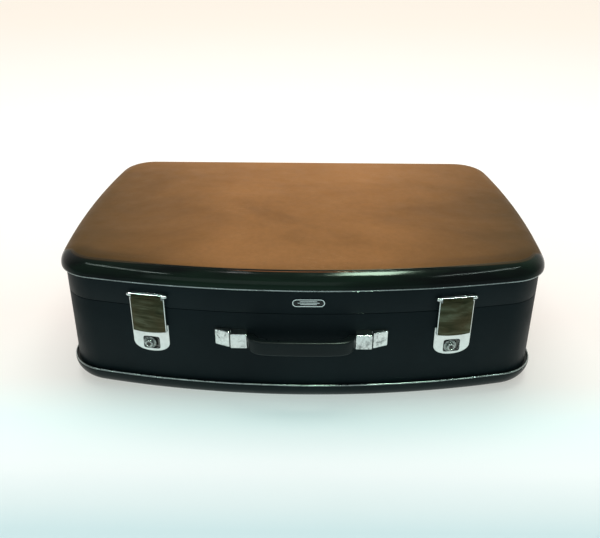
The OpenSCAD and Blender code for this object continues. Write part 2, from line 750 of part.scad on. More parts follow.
// Plain plate on the lid: a bright frame round a field with three plain bars
badge_s = 8;
badge_z = 135;
badge_t = 0.8;
badge_frame = 1;
badge_bar = 0.8;
badge_bar_z = [-1.9, 0, 1.9];
module badge_plate() {
    end_r = badge_h / 2 - 0.01;
    color("#c9ccc9") on_front(badge_s, badge_z) union() {
        outwards(badge_t) polygon(rounded(badge_w, badge_h, end_r));
        outwards(0.6, badge_t) difference() {
            polygon(rounded(badge_w, badge_h, end_r));
            polygon(rounded(badge_w - 2 * badge_frame, badge_h - 2 * badge_frame, end_r - badge_frame));
        }
        for (z = badge_bar_z) translate([0, 0, z]) outwards(0.35, badge_t)
            polygon(rounded(badge_w - 12 - 3 * abs(z), badge_bar, badge_bar / 2 - 0.01));
    }
}

// Lid stays: cloth tapes folded against the sides while the lid is shut
stay_y = hinge_y - stay_reach;
stay_base_z = seam_z - 13;
stay_lid_z = seam_z + 18;
stay_fold_ahead = 0.587;
stay_fold_below = 0.48;
stay_fold = [stay_y + stay_fold_ahead * stay_reach, seam_z - stay_fold_below * stay_reach];
function side_x(y, o) = side_c.x + sqrt(pow(side_r + o, 2) - pow(y - side_c.y, 2));
stud_x = side_x(stay_y, strip_in) - 0.2;
stud_turn = asin((stay_y - side_c.y) / side_r);

module stay_tape(side) {
    dy = stay_fold.x - stay_y;
    dz = stay_fold.y - stay_base_z;
    length = norm([dy, dz]);
    lean = atan2(side_x(stay_fold.x, lining_o - skin) - side_x(stay_y, lining_o - skin), dy);
    color("#4b4034") mirror([side > 0 ? 0 : 1, 0, 0]) translate([stud_x - 1.6, stay_y, stay_base_z])
        rotate([0, 0, -lean]) rotate([atan2(dz, dy), 0, 0])
        difference() {
            translate([-2, -stay_w / 2, -stay_w / 2]) cube([2, length + stay_w / 2, stay_w]);
            rotate([0, 90, 0]) cylinder(r = 3.2, h = 20, center = true, $fn = 32);
        }
}
module stay_studs(z) {
    color("#c9cbc8") for (k = [0, 1]) mirror([k, 0, 0]) translate([stud_x, stay_y, z])
        rotate([0, -90, stud_turn]) union() {
        cylinder(r = 7, h = 1.2, $fn = 48);
        cylinder(r = 2.8, h = 4, $fn = 32);
        translate([0, 0, 4]) cylinder(r1 = 5.5, r2 = 3.5, h = 1, $fn = 48);
    }
}

// Drawing -----------------------------------------------------------------
base_panel();
base_wall();
base_piping();
base_lining();
closing_strip();
lock_plate(left);  // lock_plate_left
lock_plate(right);  // lock_plate_right
lock_case(left);  // lock_case_left
lock_case(right);  // lock_case_right
lock_spring(left);  // lock_spring_left
lock_spring(right);  // lock_spring_right
lock_rivets();
handle_housing(-1);  // handle_housing_left
handle_housing(1);  // handle_housing_right
handle_plate(-1);  // handle_plate_left
handle_plate(1);  // handle_plate_right
handle_rivets();
hinge_leaf(hinge_x[0], -1, 0);  // hinge_leaf_base_left
hinge_leaf(hinge_x[1], -1, 0);  // hinge_leaf_base_right
hinge_rivets(seam_z - hinge_rivet_z);  // hinge_rivets_base
packing_strap(strap_x[0]);  // packing_strap_left
packing_strap(strap_x[1]);  // packing_strap_right
strap_buckles();
strap_anchors();
stay_tape(-1);  // stay_tape_left
stay_tape(1);  // stay_tape_right
stay_studs(stay_base_z);  // stay_studs_base
lid_panel();
lid_wall();
lid_piping();
lid_lining();
lid_pocket();
hinge_leaf(hinge_x[0], 1, 1);  // hinge_leaf_lid_left
hinge_leaf(hinge_x[1], 1, 1);  // hinge_leaf_lid_right
hinge_pin(hinge_x[0]);  // hinge_pin_left
hinge_pin(hinge_x[1]);  // hinge_pin_right
hinge_rivets(seam_z + hinge_rivet_z);  // hinge_rivets_lid
hasp_mount(left);  // hasp_mount_left
hasp_mount(right);  // hasp_mount_right
hasp_pin(left);  // hasp_pin_left
hasp_pin(right);  // hasp_pin_right
hasp_rivets();
badge_plate();
stay_studs(stay_lid_z);  // stay_studs_lid
hasp(left);  // hasp_left
hasp(right);  // hasp_right
hasp_catch(left);  // hasp_catch_left
hasp_catch(right);  // hasp_catch_right
lock_knob(left);  // lock_knob_left
lock_knob(right);  // lock_knob_right
lock_bolt(left);  // lock_bolt_left
lock_bolt(right);  // lock_bolt_right
key_barrel(left);  // key_barrel_left
key_barrel(right);  // key_barrel_right
handle_grip();
handle_pin(-1);  // handle_pin_left
handle_pin(1);  // handle_pin_right
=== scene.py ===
"""Looks of a hard-sided travelling case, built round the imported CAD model. Metres, in the CAD frame."""
import json
import math

import bmesh
import bpy
import numpy as np
from mathutils import Matrix, Vector, noise


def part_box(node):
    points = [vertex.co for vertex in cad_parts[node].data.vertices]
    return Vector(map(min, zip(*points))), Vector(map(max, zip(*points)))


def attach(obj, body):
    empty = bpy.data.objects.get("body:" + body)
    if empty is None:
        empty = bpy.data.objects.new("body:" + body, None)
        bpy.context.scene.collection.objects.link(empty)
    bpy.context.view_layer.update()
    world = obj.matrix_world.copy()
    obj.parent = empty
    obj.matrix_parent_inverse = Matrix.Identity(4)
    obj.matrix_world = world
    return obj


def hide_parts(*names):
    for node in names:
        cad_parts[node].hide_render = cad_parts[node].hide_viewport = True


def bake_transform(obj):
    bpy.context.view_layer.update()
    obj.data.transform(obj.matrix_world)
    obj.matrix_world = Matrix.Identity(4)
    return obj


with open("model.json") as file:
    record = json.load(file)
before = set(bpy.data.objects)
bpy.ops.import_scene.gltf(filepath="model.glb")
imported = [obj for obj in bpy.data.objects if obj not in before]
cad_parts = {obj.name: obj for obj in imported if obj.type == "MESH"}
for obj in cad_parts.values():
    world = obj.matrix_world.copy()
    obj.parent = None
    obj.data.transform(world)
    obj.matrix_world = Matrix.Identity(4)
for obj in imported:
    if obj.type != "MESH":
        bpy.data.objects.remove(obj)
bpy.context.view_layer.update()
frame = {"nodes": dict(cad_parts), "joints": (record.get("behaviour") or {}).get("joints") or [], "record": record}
nodes = frame["nodes"]
joints = {joint["name"]: joint for joint in frame["joints"]}
MM = 0.001

# ---------------------------------------------------------------- plan of the case, as in the CAD source
wall_top_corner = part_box("base_wall")[1]
HALF_L = round(wall_top_corner.x, 4)
HALF_D = round(wall_top_corner.y, 4)
FRONT_BOW = 38 * MM
SIDE_BOW = 12 * MM
FRONT_CORNER = 52 * MM
BACK_CORNER = 48 * MM
RIM = 5 * MM
SEAM_Z = 120 * MM
SEAM_GAP = 0.4 * MM
BASE_ROLL = (25 * MM, 23 * MM)
LID_ROLL = (26 * MM, 20 * MM)
LID_CROWN = 5 * MM
LID_EDGE_Z = 173 * MM
LID_LIP_Z = LID_EDGE_Z - LID_ROLL[1]
WALL = 4 * MM
BOARD = 3 * MM
SKIN = 1 * MM
NEST = 7 * MM
FIT_GAP = 0.3 * MM
LINING = -WALL - 0.2 * MM


def crossing(c0, r0, c1, r1):
    """Where two circles cross, to the right of the line from c0 to c1."""
    d = np.linalg.norm(c1 - c0)
    u = (c1 - c0) / d
    a = (r0 * r0 - r1 * r1 + d * d) / (2 * d)
    return c0 + a * u + math.sqrt(r0 * r0 - a * a) * np.array([u[1], -u[0]])


def heading(v):
    return math.atan2(v[1], v[0])


corner_x = HALF_L - SIDE_BOW
front_y = FRONT_BOW - HALF_D
FRONT_R = (corner_x**2 + FRONT_BOW**2) / (2 * FRONT_BOW)
front_c = np.array([0, FRONT_R - HALF_D])
side_half = (HALF_D - front_y) / 2
side_r = (side_half**2 + SIDE_BOW**2) / (2 * SIDE_BOW)
side_c = np.array([HALF_L - side_r, HALF_D - side_half])
corner_fc = crossing(side_c, side_r - FRONT_CORNER, front_c, FRONT_R - FRONT_CORNER)
back_y = HALF_D - BACK_CORNER
back_reach = math.sqrt((side_r - BACK_CORNER) ** 2 - (back_y - side_c[1]) ** 2)
corner_bc = np.array([side_c[0] + back_reach, back_y])
front_end = heading(corner_fc - front_c)
side_start = heading(corner_fc - side_c)
side_end = heading(corner_bc - side_c)


def arc(c, r, a0, a1, n):
    a = np.linspace(a0, a1, n + 1)[:-1]
    return c + r * np.stack([np.cos(a), np.sin(a)], 1)


def outline(o, fine=4):
    """Plan of the wall, o outside its outer face, anticlockwise from the middle of the front."""
    back = np.linspace(corner_bc[0], 0, 8 * fine + 1)[:-1]
    half = np.concatenate([
        arc(front_c, FRONT_R + o, -math.pi / 2, front_end, 14 * fine),
        arc(corner_fc, FRONT_CORNER + o, front_end, side_start, 9 * fine),
        arc(side_c, side_r + o, side_start, side_end, 9 * fine),
        arc(corner_bc, BACK_CORNER + o, side_end, math.pi / 2, 9 * fine),
        np.stack([back, np.full(len(back), HALF_D + o)], 1),
    ])
    mirrored = half[1:][::-1] * np.array([-1, 1])
    return np.concatenate([half, [[0, HALF_D + o]], mirrored])


def ring(o, z, k=1.0, fine=4):
    """One level of a sweep round the plan, drawn in towards the middle by k."""
    p = outline(o, fine) * k
    return np.column_stack([p, np.full(len(p), z)])


FACING_FRONT = (outline(0) - outline(MM))[:, 1] / MM


def side_x(y, o):
    return side_c[0] + math.sqrt((side_r + o) ** 2 - (y - side_c[1]) ** 2)


def on_front(s, x, y, z):
    """Place on the bowed front: s along it from the middle, then x along the wall, y inwards, z up."""
    a = s / FRONT_R
    along = np.array([math.cos(a), math.sin(a)])
    inward = np.array([-math.sin(a), math.cos(a)])
    foot = front_c + FRONT_R * np.array([math.sin(a), -math.cos(a)])
    return (*(foot + x * along + y * inward), z)


# ---------------------------------------------------------------- mesh helpers
def add_mesh(name, verts, faces, material, sharp=35):
    mesh = bpy.data.meshes.new(name)
    mesh.from_pydata([tuple(v) for v in verts], [], faces)
    bm = bmesh.new()
    bm.from_mesh(mesh)
    bmesh.ops.recalc_face_normals(bm, faces=bm.faces)
    bm.to_mesh(mesh)
    bm.free()
    mesh.polygons.foreach_set("use_smooth", [True] * len(mesh.polygons))
    mesh.set_sharp_from_angle(angle=math.radians(sharp))
    mesh.materials.append(material)
    obj = bpy.data.objects.new(name, mesh)
    bpy.context.scene.collection.objects.link(obj)
    return obj


def loft(name, rings, material, caps=(True, True), hoop=False, sharp=35):
    """Skin through rings with equal numbers of points. A hoop joins the last ring to the first."""
    n = len(rings[0])
    verts = np.concatenate(rings)
    faces = []
    for j in range(len(rings) if hoop else len(rings) - 1):
        low = j * n
        high = (j + 1) % len(rings) * n
        faces += [(low + i, low + (i + 1) % n, high + (i + 1) % n, high + i) for i in range(n)]
    if caps[0] and not hoop:
        faces.append(tuple(range(n)))
    if caps[1] and not hoop:
        faces.append(tuple(range((len(rings) - 1) * n, len(rings) * n)))
    return add_mesh(name, verts, faces, material, sharp)


def cloth(name, grid, thickness, material):
    """Sheet through rows of points, given a thickness."""
    rows, columns = grid.shape[:2]
    faces = [
        (j * columns + i, j * columns + i + 1, (j + 1) * columns + i + 1, (j + 1) * columns + i)
        for j in range(rows - 1)
        for i in range(columns - 1)
    ]
    obj = add_mesh(name, grid.reshape(-1, 3), faces, material, 60)
    bm = bmesh.new()
    bm.from_mesh(obj.data)
    bmesh.ops.solidify(bm, geom=bm.faces[:], thickness=thickness)
    bmesh.ops.recalc_face_normals(bm, faces=bm.faces)
    bm.to_mesh(obj.data)
    bm.free()
    obj.data.polygons.foreach_set("use_smooth", [True] * len(obj.data.polygons))
    obj.data.set_sharp_from_angle(angle=math.radians(60))
    return obj


def cut(obj, boxes):
    """Takes boxes on the bowed front, each (s, lowest corner, highest corner), out of obj."""
    verts, faces = [], []
    for s, low, high in boxes:
        first = len(verts)
        verts += [
            on_front(s, x, y, z)
            for z in (low[2], high[2])
            for y in (low[1], high[1])
            for x in (low[0], high[0])
        ]
        corners = [(0, 1, 3, 2), (4, 6, 7, 5), (0, 4, 5, 1), (2, 3, 7, 6), (0, 2, 6, 4), (1, 5, 7, 3)]
        faces += [tuple(first + i for i in face) for face in corners]
    cutter = add_mesh("cutter", verts, faces, obj.data.materials[0])
    modifier = obj.modifiers.new("cut", "BOOLEAN")
    modifier.operation = "DIFFERENCE"
    modifier.solver = "EXACT"
    modifier.use_self = True
    modifier.object = cutter
    bpy.context.view_layer.update()
    mesh = bpy.data.meshes.new_from_object(obj.evaluated_get(bpy.context.evaluated_depsgraph_get()))
    obj.modifiers.clear()
    obj.data = mesh
    mesh.polygons.foreach_set("use_smooth", [True] * len(mesh.polygons))
    mesh.set_sharp_from_angle(angle=math.radians(35))
    bpy.data.objects.remove(cutter)
    return obj


def mark(obj, name, values):
    """Stores one number for each vertex, for the material to read."""
    attribute = obj.data.attributes.new(name, "FLOAT", "POINT")
    attribute.data.foreach_set("value", np.asarray(values, np.float32))


def piece(obj, body, slot, *replaced):
    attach(obj, body)
    if replaced:
        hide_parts(*replaced)
    return obj


def smooth(t):
    t = np.clip(t, 0, 1)
    return t * t * (3 - 2 * t)


# ---------------------------------------------------------------- materials
class Nodes:
    """Short spellings for the node trees below."""

    def __init__(self, name):
        self.mat = bpy.data.materials.new(name)
        self.mat.use_nodes = True
        self.tree = self.mat.node_tree
        self.bsdf = self.tree.nodes["Principled BSDF"]
        self.place = self.add("ShaderNodeTexCoord").outputs["Object"]

    def add(self, kind, **values):
        node = self.tree.nodes.new(kind)
        for key, value in values.items():
            setattr(node, key, value)
        return node

    def link(self, source, target):
        self.tree.links.new(source, target)

    def noise(self, scale, detail=3, rough=0.5, vector=None, distortion=0.0):
        node = self.add("ShaderNodeTexNoise")
        self.link(vector or self.place, node.inputs["Vector"])
        node.inputs["Scale"].default_value = scale
        node.inputs["Detail"].default_value = detail
        node.inputs["Roughness"].default_value = rough
        node.inputs["Distortion"].default_value = distortion
        return node.outputs["Fac"]

    def cells(self, scale, vector=None):
        node = self.add("ShaderNodeTexVoronoi", feature="F1")
        self.link(vector or self.place, node.inputs["Vector"])
        node.inputs["Scale"].default_value = scale
        return node.outputs["Distance"]

    def stretch(self, scale, rotation=(0, 0, 0)):
        node = self.add("ShaderNodeMapping")
        self.link(self.place, node.inputs["Vector"])
        node.inputs["Scale"].default_value = scale
        node.inputs["Rotation"].default_value = rotation
        return node.outputs["Vector"]

    def wave(self, scale, distortion, vector=None, direction="X", detail=2, detail_scale=1.0):
        node = self.add("ShaderNodeTexWave", bands_direction=direction)
        self.link(vector or self.place, node.inputs["Vector"])
        node.inputs["Scale"].default_value = scale
        node.inputs["Distortion"].default_value = distortion
        node.inputs["Detail"].default_value = detail
        node.inputs["Detail Scale"].default_value = detail_scale
        return node.outputs["Fac"]

    def ramp(self, value, stops):
        node = self.add("ShaderNodeValToRGB")
        self.link(value, node.inputs["Fac"])
        points = node.color_ramp.elements
        for i, (position, colour) in enumerate(stops):
            point = points[i] if i < 2 else points.new(position)
            point.position = position
            point.color = (*colour, 1) if len(colour) == 3 else colour
        return node.outputs["Color"]

    def span(self, value, low, high, to_low=0.0, to_high=1.0):
        node = self.add("ShaderNodeMapRange")
        self.link(value, node.inputs["Value"])
        for key, number in (("From Min", low), ("From Max", high), ("To Min", to_low), ("To Max", to_high)):
            node.inputs[key].default_value = number
        return node.outputs["Result"]

    def math(self, how, a, b=0.0):
        node = self.add("ShaderNodeMath", operation=how)
        for socket, value in zip(node.inputs, (a, b)):
            if isinstance(value, (int, float)):
                socket.default_value = value
            else:
                self.link(value, socket)
        return node.outputs["Value"]

    def mix(self, factor, a, b):
        node = self.add("ShaderNodeMix", data_type="RGBA")
        self.link(factor, node.inputs[0])
        for socket, value in ((node.inputs[6], a), (node.inputs[7], b)):
            if isinstance(value, tuple):
                socket.default_value = (*value, 1)
            else:
                self.link(value, socket)
        return node.outputs[2]

    def axis(self, which):
        node = self.add("ShaderNodeSeparateXYZ")
        self.link(self.place, node.inputs[0])
        return node.outputs[which]

    def marked(self, name):
        return self.add("ShaderNodeAttribute", attribute_name=name).outputs["Fac"]

    def bump(self, height, distance, strength=1.0, under=None):
        node = self.add("ShaderNodeBump")
        self.link(height, node.inputs["Height"])
        node.inputs["Distance"].default_value = distance
        node.inputs["Strength"].default_value = strength
        if under:
            self.link(under, node.inputs["Normal"])
        return node.outputs["Normal"]

    def finish(self, colour=None, rough=None, normal=None, **values):
        for value, socket in ((colour, "Base Color"), (rough, "Roughness"), (normal, "Normal")):
            if value is None:
                continue
            if isinstance(value, (int, float)):
                self.bsdf.inputs[socket].default_value = value
            elif isinstance(value, tuple):
                self.bsdf.inputs[socket].default_value = (*value, 1)
            else:
                self.link(value, self.bsdf.inputs[socket])
        for key, value in values.items():
            self.bsdf.inputs[key.replace("_", " ")].default_value = value
        return self.mat


def leathercloth(name, low, high, rough, grain=900, depth=0.05 * MM, gloss=0.1):
    """Coated cloth with a fine pebbled grain, uneven in tone and polish, with faint scuffs."""
    n = Nodes(name)
    tone = n.ramp(n.noise(9, 5, 0.6), [(0.3, low), (0.7, high)])
    scuffs = n.span(n.noise(34, 9, 0.78, n.stretch((1, 1, 2.4)), 0.6), 0.63, 0.80, 0, 0.5)
    tone = n.mix(scuffs, tone, tuple(3.2 * c for c in high))
    fine = n.math("ADD", n.cells(grain), n.noise(grain * 0.6, 2, 0.5))
    wear = n.span(n.noise(26, 6, 0.65), 0.3, 0.7, rough[0], rough[1])
    dents = n.bump(n.noise(14, 2, 0.4), 0.2 * MM)
    return n.finish(tone, wear, n.bump(fine, depth, 0.8, dents), Specular_IOR_Level=gloss)


def satin_brown(n):
    """Colour of the lid's cloth: cloudy, with faint scratches; painted sheen makes it lighter behind, painted
    shade darker in front and towards both ends.
    """
    clouds = n.noise(4.6, 5, 0.62, n.stretch((1, 1.5, 1), (0, 0, 0.5)), 0.4)
    stops = [(0.36, (0.228, 0.104, 0.033)), (0.50, (0.285, 0.131, 0.042)), (0.66, (0.331, 0.153, 0.051))]
    brown = n.ramp(clouds, stops)
    brown = n.mix(n.span(n.noise(150, 5, 0.7), 0.38, 0.75, 0, 0.30), brown, (0.165, 0.079, 0.026))
    scratch = n.wave(34, 22, n.stretch((0.25, 1, 1), (0, 0, 0.35)), "Y", 6, 2.4)
    scratches = n.math("MULTIPLY", n.span(scratch, 0.985, 1.0), n.span(n.noise(9, 3, 0.5), 0.52, 0.62))
    brown = n.mix(n.math("MULTIPLY", scratches, 0.35), brown, (0.42, 0.25, 0.12))
    # painted sheen: the back half is mixed towards a lighter brown; painted shade: darker towards the front
    brown = n.mix(n.span(n.axis("Y"), 0.0, HALF_D, 0, 0.5), brown, (0.400, 0.182, 0.058))
    brown = n.mix(n.span(n.axis("Y"), -0.19, 0.02, 0.20, 0.04), brown, (0.080, 0.048, 0.019))
    # painted shade: darker towards both ends
    ends = n.span(n.math("ABSOLUTE", n.math("DIVIDE", n.axis("X"), HALF_L)), 0.30, 0.95, 0.0, 1.0)
    ends = n.math("MULTIPLY", ends, n.span(clouds, 0.3, 0.7, 1.0, 0.75))
    ends = n.math("MULTIPLY", ends, n.span(n.axis("Y"), -0.2, 0.2, 1.2, 0.65))
    return n.mix(ends, brown, (0.074, 0.043, 0.014))


def lid_cloth():
    """Brown satin cloth of the lid's top, with painted shade where it nears the rolled edge in front."""
    n = Nodes("lid_cloth")
    # painted shade along the front crease darkens the brown
    brown = n.mix(n.marked("painted_crease_shade"), satin_brown(n), (0.014, 0.013, 0.008))
    weave = n.math("ADD", n.cells(1300), n.noise(700, 2, 0.5))
    buckles = n.bump(n.noise(9, 3, 0.5, n.stretch((0.7, 1.5, 1))), 1.0 * MM, 0.5)
    satin = n.span(n.noise(40, 5, 0.6), 0.3, 0.7, 0.40, 0.55)
    return n.finish(brown, satin, n.bump(weave, 0.03 * MM, 0.7, buckles), Specular_IOR_Level=0.03)


def roll_cloth():
    """The lid's rolled edge: glossy black with a painted green sheen in front, brown at the sides and back, with
    painted shade and a painted highlight along the crease.
    """
    n = Nodes("roll_cloth")
    # painted sheen: a green cast in the black, standing in for a lamp's reflection
    green = n.span(n.noise(6, 3, 0.5, n.stretch((1, 5, 5))), 0.40, 0.62)
    black = n.mix(green, (0.0045, 0.0060, 0.0058), (0.0080, 0.0190, 0.0120))
    dark = n.marked("dark")
    # painted shade along the front crease darkens the brown here too
    colour = n.mix(dark, n.mix(n.marked("painted_crease_shade"), satin_brown(n), (0.014, 0.013, 0.008)), black)
    # painted highlight: a thin copper line along the crease
    colour = n.mix(n.marked("painted_crease_highlight"), colour, (0.30, 0.11, 0.045))
    dull = n.math("ADD", n.span(dark, 0, 1, 0.46, 0.09), n.span(n.noise(55, 6, 0.7), 0.3, 0.7, -0.02, 0.07))
    fine = n.math("ADD", n.cells(1300), n.noise(700, 2, 0.5))
    waves = n.bump(n.noise(16, 3, 0.5, n.stretch((1, 2, 3))), 0.5 * MM, 0.6)
    return n.finish(colour, dull, n.bump(fine, 0.012 * MM, 0.35, waves), Specular_IOR_Level=0.07)


def metal(name, colour, rough, streak=0.0, worn=0.80):
    """Plated metal with faint smears and, if asked, a brushed streak."""
    n = Nodes(name)
    tone = n.ramp(n.noise(70, 6, 0.7), [(0.40, colour), (0.75, tuple(worn * c for c in colour))])
    specks = n.span(n.noise(900, 3, 0.6), 0.66, 0.74, 0, 0.25)
    tone = n.mix(specks, tone, tuple(0.35 * c for c in colour))
    polish = n.span(n.noise(260, 4, 0.6), 0.35, 0.75, rough, rough * 2.2 + 0.03)
    edge = n.add("ShaderNodeBevel", samples=6)
    edge.inputs["Radius"].default_value = 0.35 * MM
    waves = n.bump(n.noise(60, 2, 0.5), 0.03 * MM, 0.5, edge.outputs["Normal"])
    lines = n.noise(500, 2, 0.5, n.stretch((0.06, 1, 1)))
    return n.finish(tone, polish, n.bump(lines, 0.02 * MM + streak * MM, 0.25, waves), Metallic=1.0)


def pitted_painted_reflection(name, colour, rough):
    """Plated metal of the handle fittings and knobs, with dark patches of painted reflection and pits in the
    plating.
    """
    n = Nodes(name)
    dull, duller, darkest = [tuple(k * c for c in colour) for k in (0.88, 0.42, 0.22)]
    # painted reflection: dark patches standing in for the room reflected in the plating
    patches = n.noise(85, 5, 0.72, None, 0.8)
    tone = n.ramp(patches, [(0.36, duller), (0.46, dull), (0.58, colour)])
    pits = n.span(n.noise(620, 3, 0.6), 0.60, 0.70, 0, 0.65)
    tone = n.mix(pits, tone, darkest)
    edge = n.add("ShaderNodeBevel", samples=6)
    edge.inputs["Radius"].default_value = 0.8 * MM
    waves = n.bump(n.noise(70, 2, 0.5), 0.10 * MM, 0.8, edge.outputs["Normal"])
    return n.finish(tone, n.span(patches, 0.4, 0.6, rough + 0.16, rough), waves, Metallic=1.0)


def painted_room_reflection():
    """Painted reflection on the hasp covers: a dark olive mirror with soft streaks across it, standing in for the
    dark room reflected there.
    """
    n = Nodes("painted_room_reflection")
    streaks = n.noise(38, 4, 0.6, n.stretch((0.55, 0.55, 2.2), (0, 0.12, 0)), 1.2)
    olives = [(0.34, (0.016, 0.020, 0.010)), (0.50, (0.042, 0.043, 0.024)), (0.68, (0.085, 0.096, 0.062))]
    tone = n.ramp(streaks, olives)
    cast = n.span(n.noise(30, 2, 0.5), 0.4, 0.65)
    tone = n.mix(n.math("MULTIPLY", cast, 0.6), tone, (0.060, 0.044, 0.022))
    waves = n.bump(n.noise(45, 2, 0.5), 0.12 * MM, 0.6)
    return n.finish(tone, n.span(streaks, 0.3, 0.7, 0.05, 0.15), waves, Metallic=1.0)


def moire(name, low, high):
    """Watered silk lining: fine ribs crossed by faint wandering bands."""
    n = Nodes(name)
    water = n.wave(13, 11, n.stretch((0.35, 1.4, 1.4)), "Y", 3, 1.3)
    tone = n.ramp(water, [(0.2, low), (0.5, high), (0.85, low)])
    ribs = n.wave(420, 0.4, None, "Y", 1, 4)
    satin = n.span(water, 0, 1, 0.50, 0.60)
    return n.finish(tone, satin, n.bump(ribs, 0.08 * MM, 0.5), Sheen_Weight=0.35)


def sateen(name, low, high):
    """Smooth lining cloth with darker and lighter streaks along its folds, painted fold shade, and a fine twill.
    """
    n = Nodes(name)
    # painted shade: streaks along the folds stand in for the shade in the pleats
    streaks = n.noise(60, 4, 0.6, n.stretch((1, 0.12, 0.12)))
    twill = n.wave(700, 0.3, n.stretch((1, 1, 1), (0, 0, 0.7)), "X", 1, 4)
    tone = n.ramp(streaks, [(0.32, low), (0.62, high)])
    satin = n.span(streaks, 0.3, 0.7, 0.50, 0.36)
    return n.finish(tone, satin, n.bump(twill, 0.05 * MM, 0.5), Sheen_Weight=0.4)


def webbing(name, low, high, across="X", along="Y"):
    """Woven tape: warp and weft threads."""
    n = Nodes(name)
    warp = n.wave(330, 0.6, None, across, 1, 6)
    weft = n.wave(250, 0.8, None, along, 1, 6)
    threads = n.math("MULTIPLY", warp, weft)
    tone = n.ramp(n.math("ADD", threads, n.noise(60, 4, 0.6)), [(0.35, low), (1.1, high)])
    return n.finish(tone, 0.82, n.bump(threads, 0.25 * MM, 0.9), Sheen_Weight=0.2)


LID_CLOTH = lid_cloth()
ROLL_CLOTH = roll_cloth()
WALL_CLOTH = leathercloth(
    "wall_cloth", (0.0044, 0.0088, 0.0104), (0.0068, 0.0134, 0.0152), (0.40, 0.56), gloss=0.08
)
PAN_CLOTH = leathercloth(
    "pan_cloth", (0.0030, 0.0082, 0.0088), (0.0050, 0.0124, 0.0128), (0.30, 0.44), gloss=0.13
)
GRIP = leathercloth(
    "grip_plastic", (0.0048, 0.0092, 0.0096), (0.0078, 0.0135, 0.0135), (0.26, 0.38), 2200, 0.02 * MM, 0.13
)
CHROME = metal("chrome", (0.70, 0.735, 0.715), 0.07)
# plating with painted reflection for the handle fittings, darker still for the lock knobs
PITTED_PAINTED_REFLECTION = pitted_painted_reflection("tarnished_chrome", (0.70, 0.735, 0.715), 0.07)
DARK_PITTED_PAINTED_REFLECTION = pitted_painted_reflection("dark_pitted_painted_reflection_chrome", (0.40, 0.43, 0.41), 0.12)
PIPING = metal("piping", (0.34, 0.39, 0.385), 0.22, worn=0.40)
NICKEL = metal("nickel_steel", (0.52, 0.52, 0.49), 0.22, 0.02)
DARK_STEEL = metal("dark_steel", (0.13, 0.13, 0.12), 0.30, 0.02)
PAINTED_REFLECTION_SHEET = painted_room_reflection()
# black enamel of the badge, also used for the painted shade in the lock slots
ENAMEL_AND_SLOT_SHADE = leathercloth(
    "enamel", (0.004, 0.005, 0.005), (0.007, 0.008, 0.008), (0.12, 0.2), 2200, 0.003 * MM, 0.3
)
LINING_CLOTH = moire("lining", (0.415, 0.300, 0.198), (0.455, 0.335, 0.226))
POCKET = sateen("pocket_cloth", (0.25, 0.175, 0.11), (0.42, 0.32, 0.215))
WEBBING = webbing("webbing", (0.060, 0.038, 0.022), (0.16, 0.105, 0.062))
TAPE = webbing("stay_webbing", (0.060, 0.038, 0.022), (0.16, 0.105, 0.062), "Z", "Y")
THREAD = webbing("thread", (0.30, 0.22, 0.13), (0.46, 0.36, 0.22))

BY_SLOT = {
    "lid_cloth": LID_CLOTH, "wall_cloth": WALL_CLOTH, "piping": PIPING, "chrome": CHROME,
    "nickel_steel": NICKEL, "dark_steel": DARK_STEEL, "lining": LINING_CLOTH, "pocket_cloth": POCKET,
    "webbing": WEBBING, "grip_plastic": GRIP,
}
for entry in frame["record"]["subparts"]:
    mesh = nodes[entry["node"]].data
    mesh.materials.clear()
    mesh.materials.append(BY_SLOT[entry["material_slot"]])

for side in ("left", "right"):
    # painted reflection on the handle fittings and the lock knobs
    nodes[f"handle_housing_{side}"].data.materials[0] = PITTED_PAINTED_REFLECTION
    nodes[f"handle_plate_{side}"].data.materials[0] = PITTED_PAINTED_REFLECTION
    nodes[f"lock_knob_{side}"].data.materials[0] = DARK_PITTED_PAINTED_REFLECTION

# ---------------------------------------------------------------- panels
CREASE = 62.0
QUARTER = np.radians(np.linspace(0, 90, 17))


def roll(inner, outer, z, height, angles):
    """Levels of a quarter-ellipse edge, from its outer end inwards as the angle goes from 0 to 90."""
    return [(inner + (outer - inner) * math.cos(a), z + height * math.sin(a)) for a in angles]


def hump(t):
    return math.exp(-t * t)


FRONT = smooth((FACING_FRONT - 0.15) / 0.6)
FROM_MIDDLE = abs(outline(0)[:, 0])


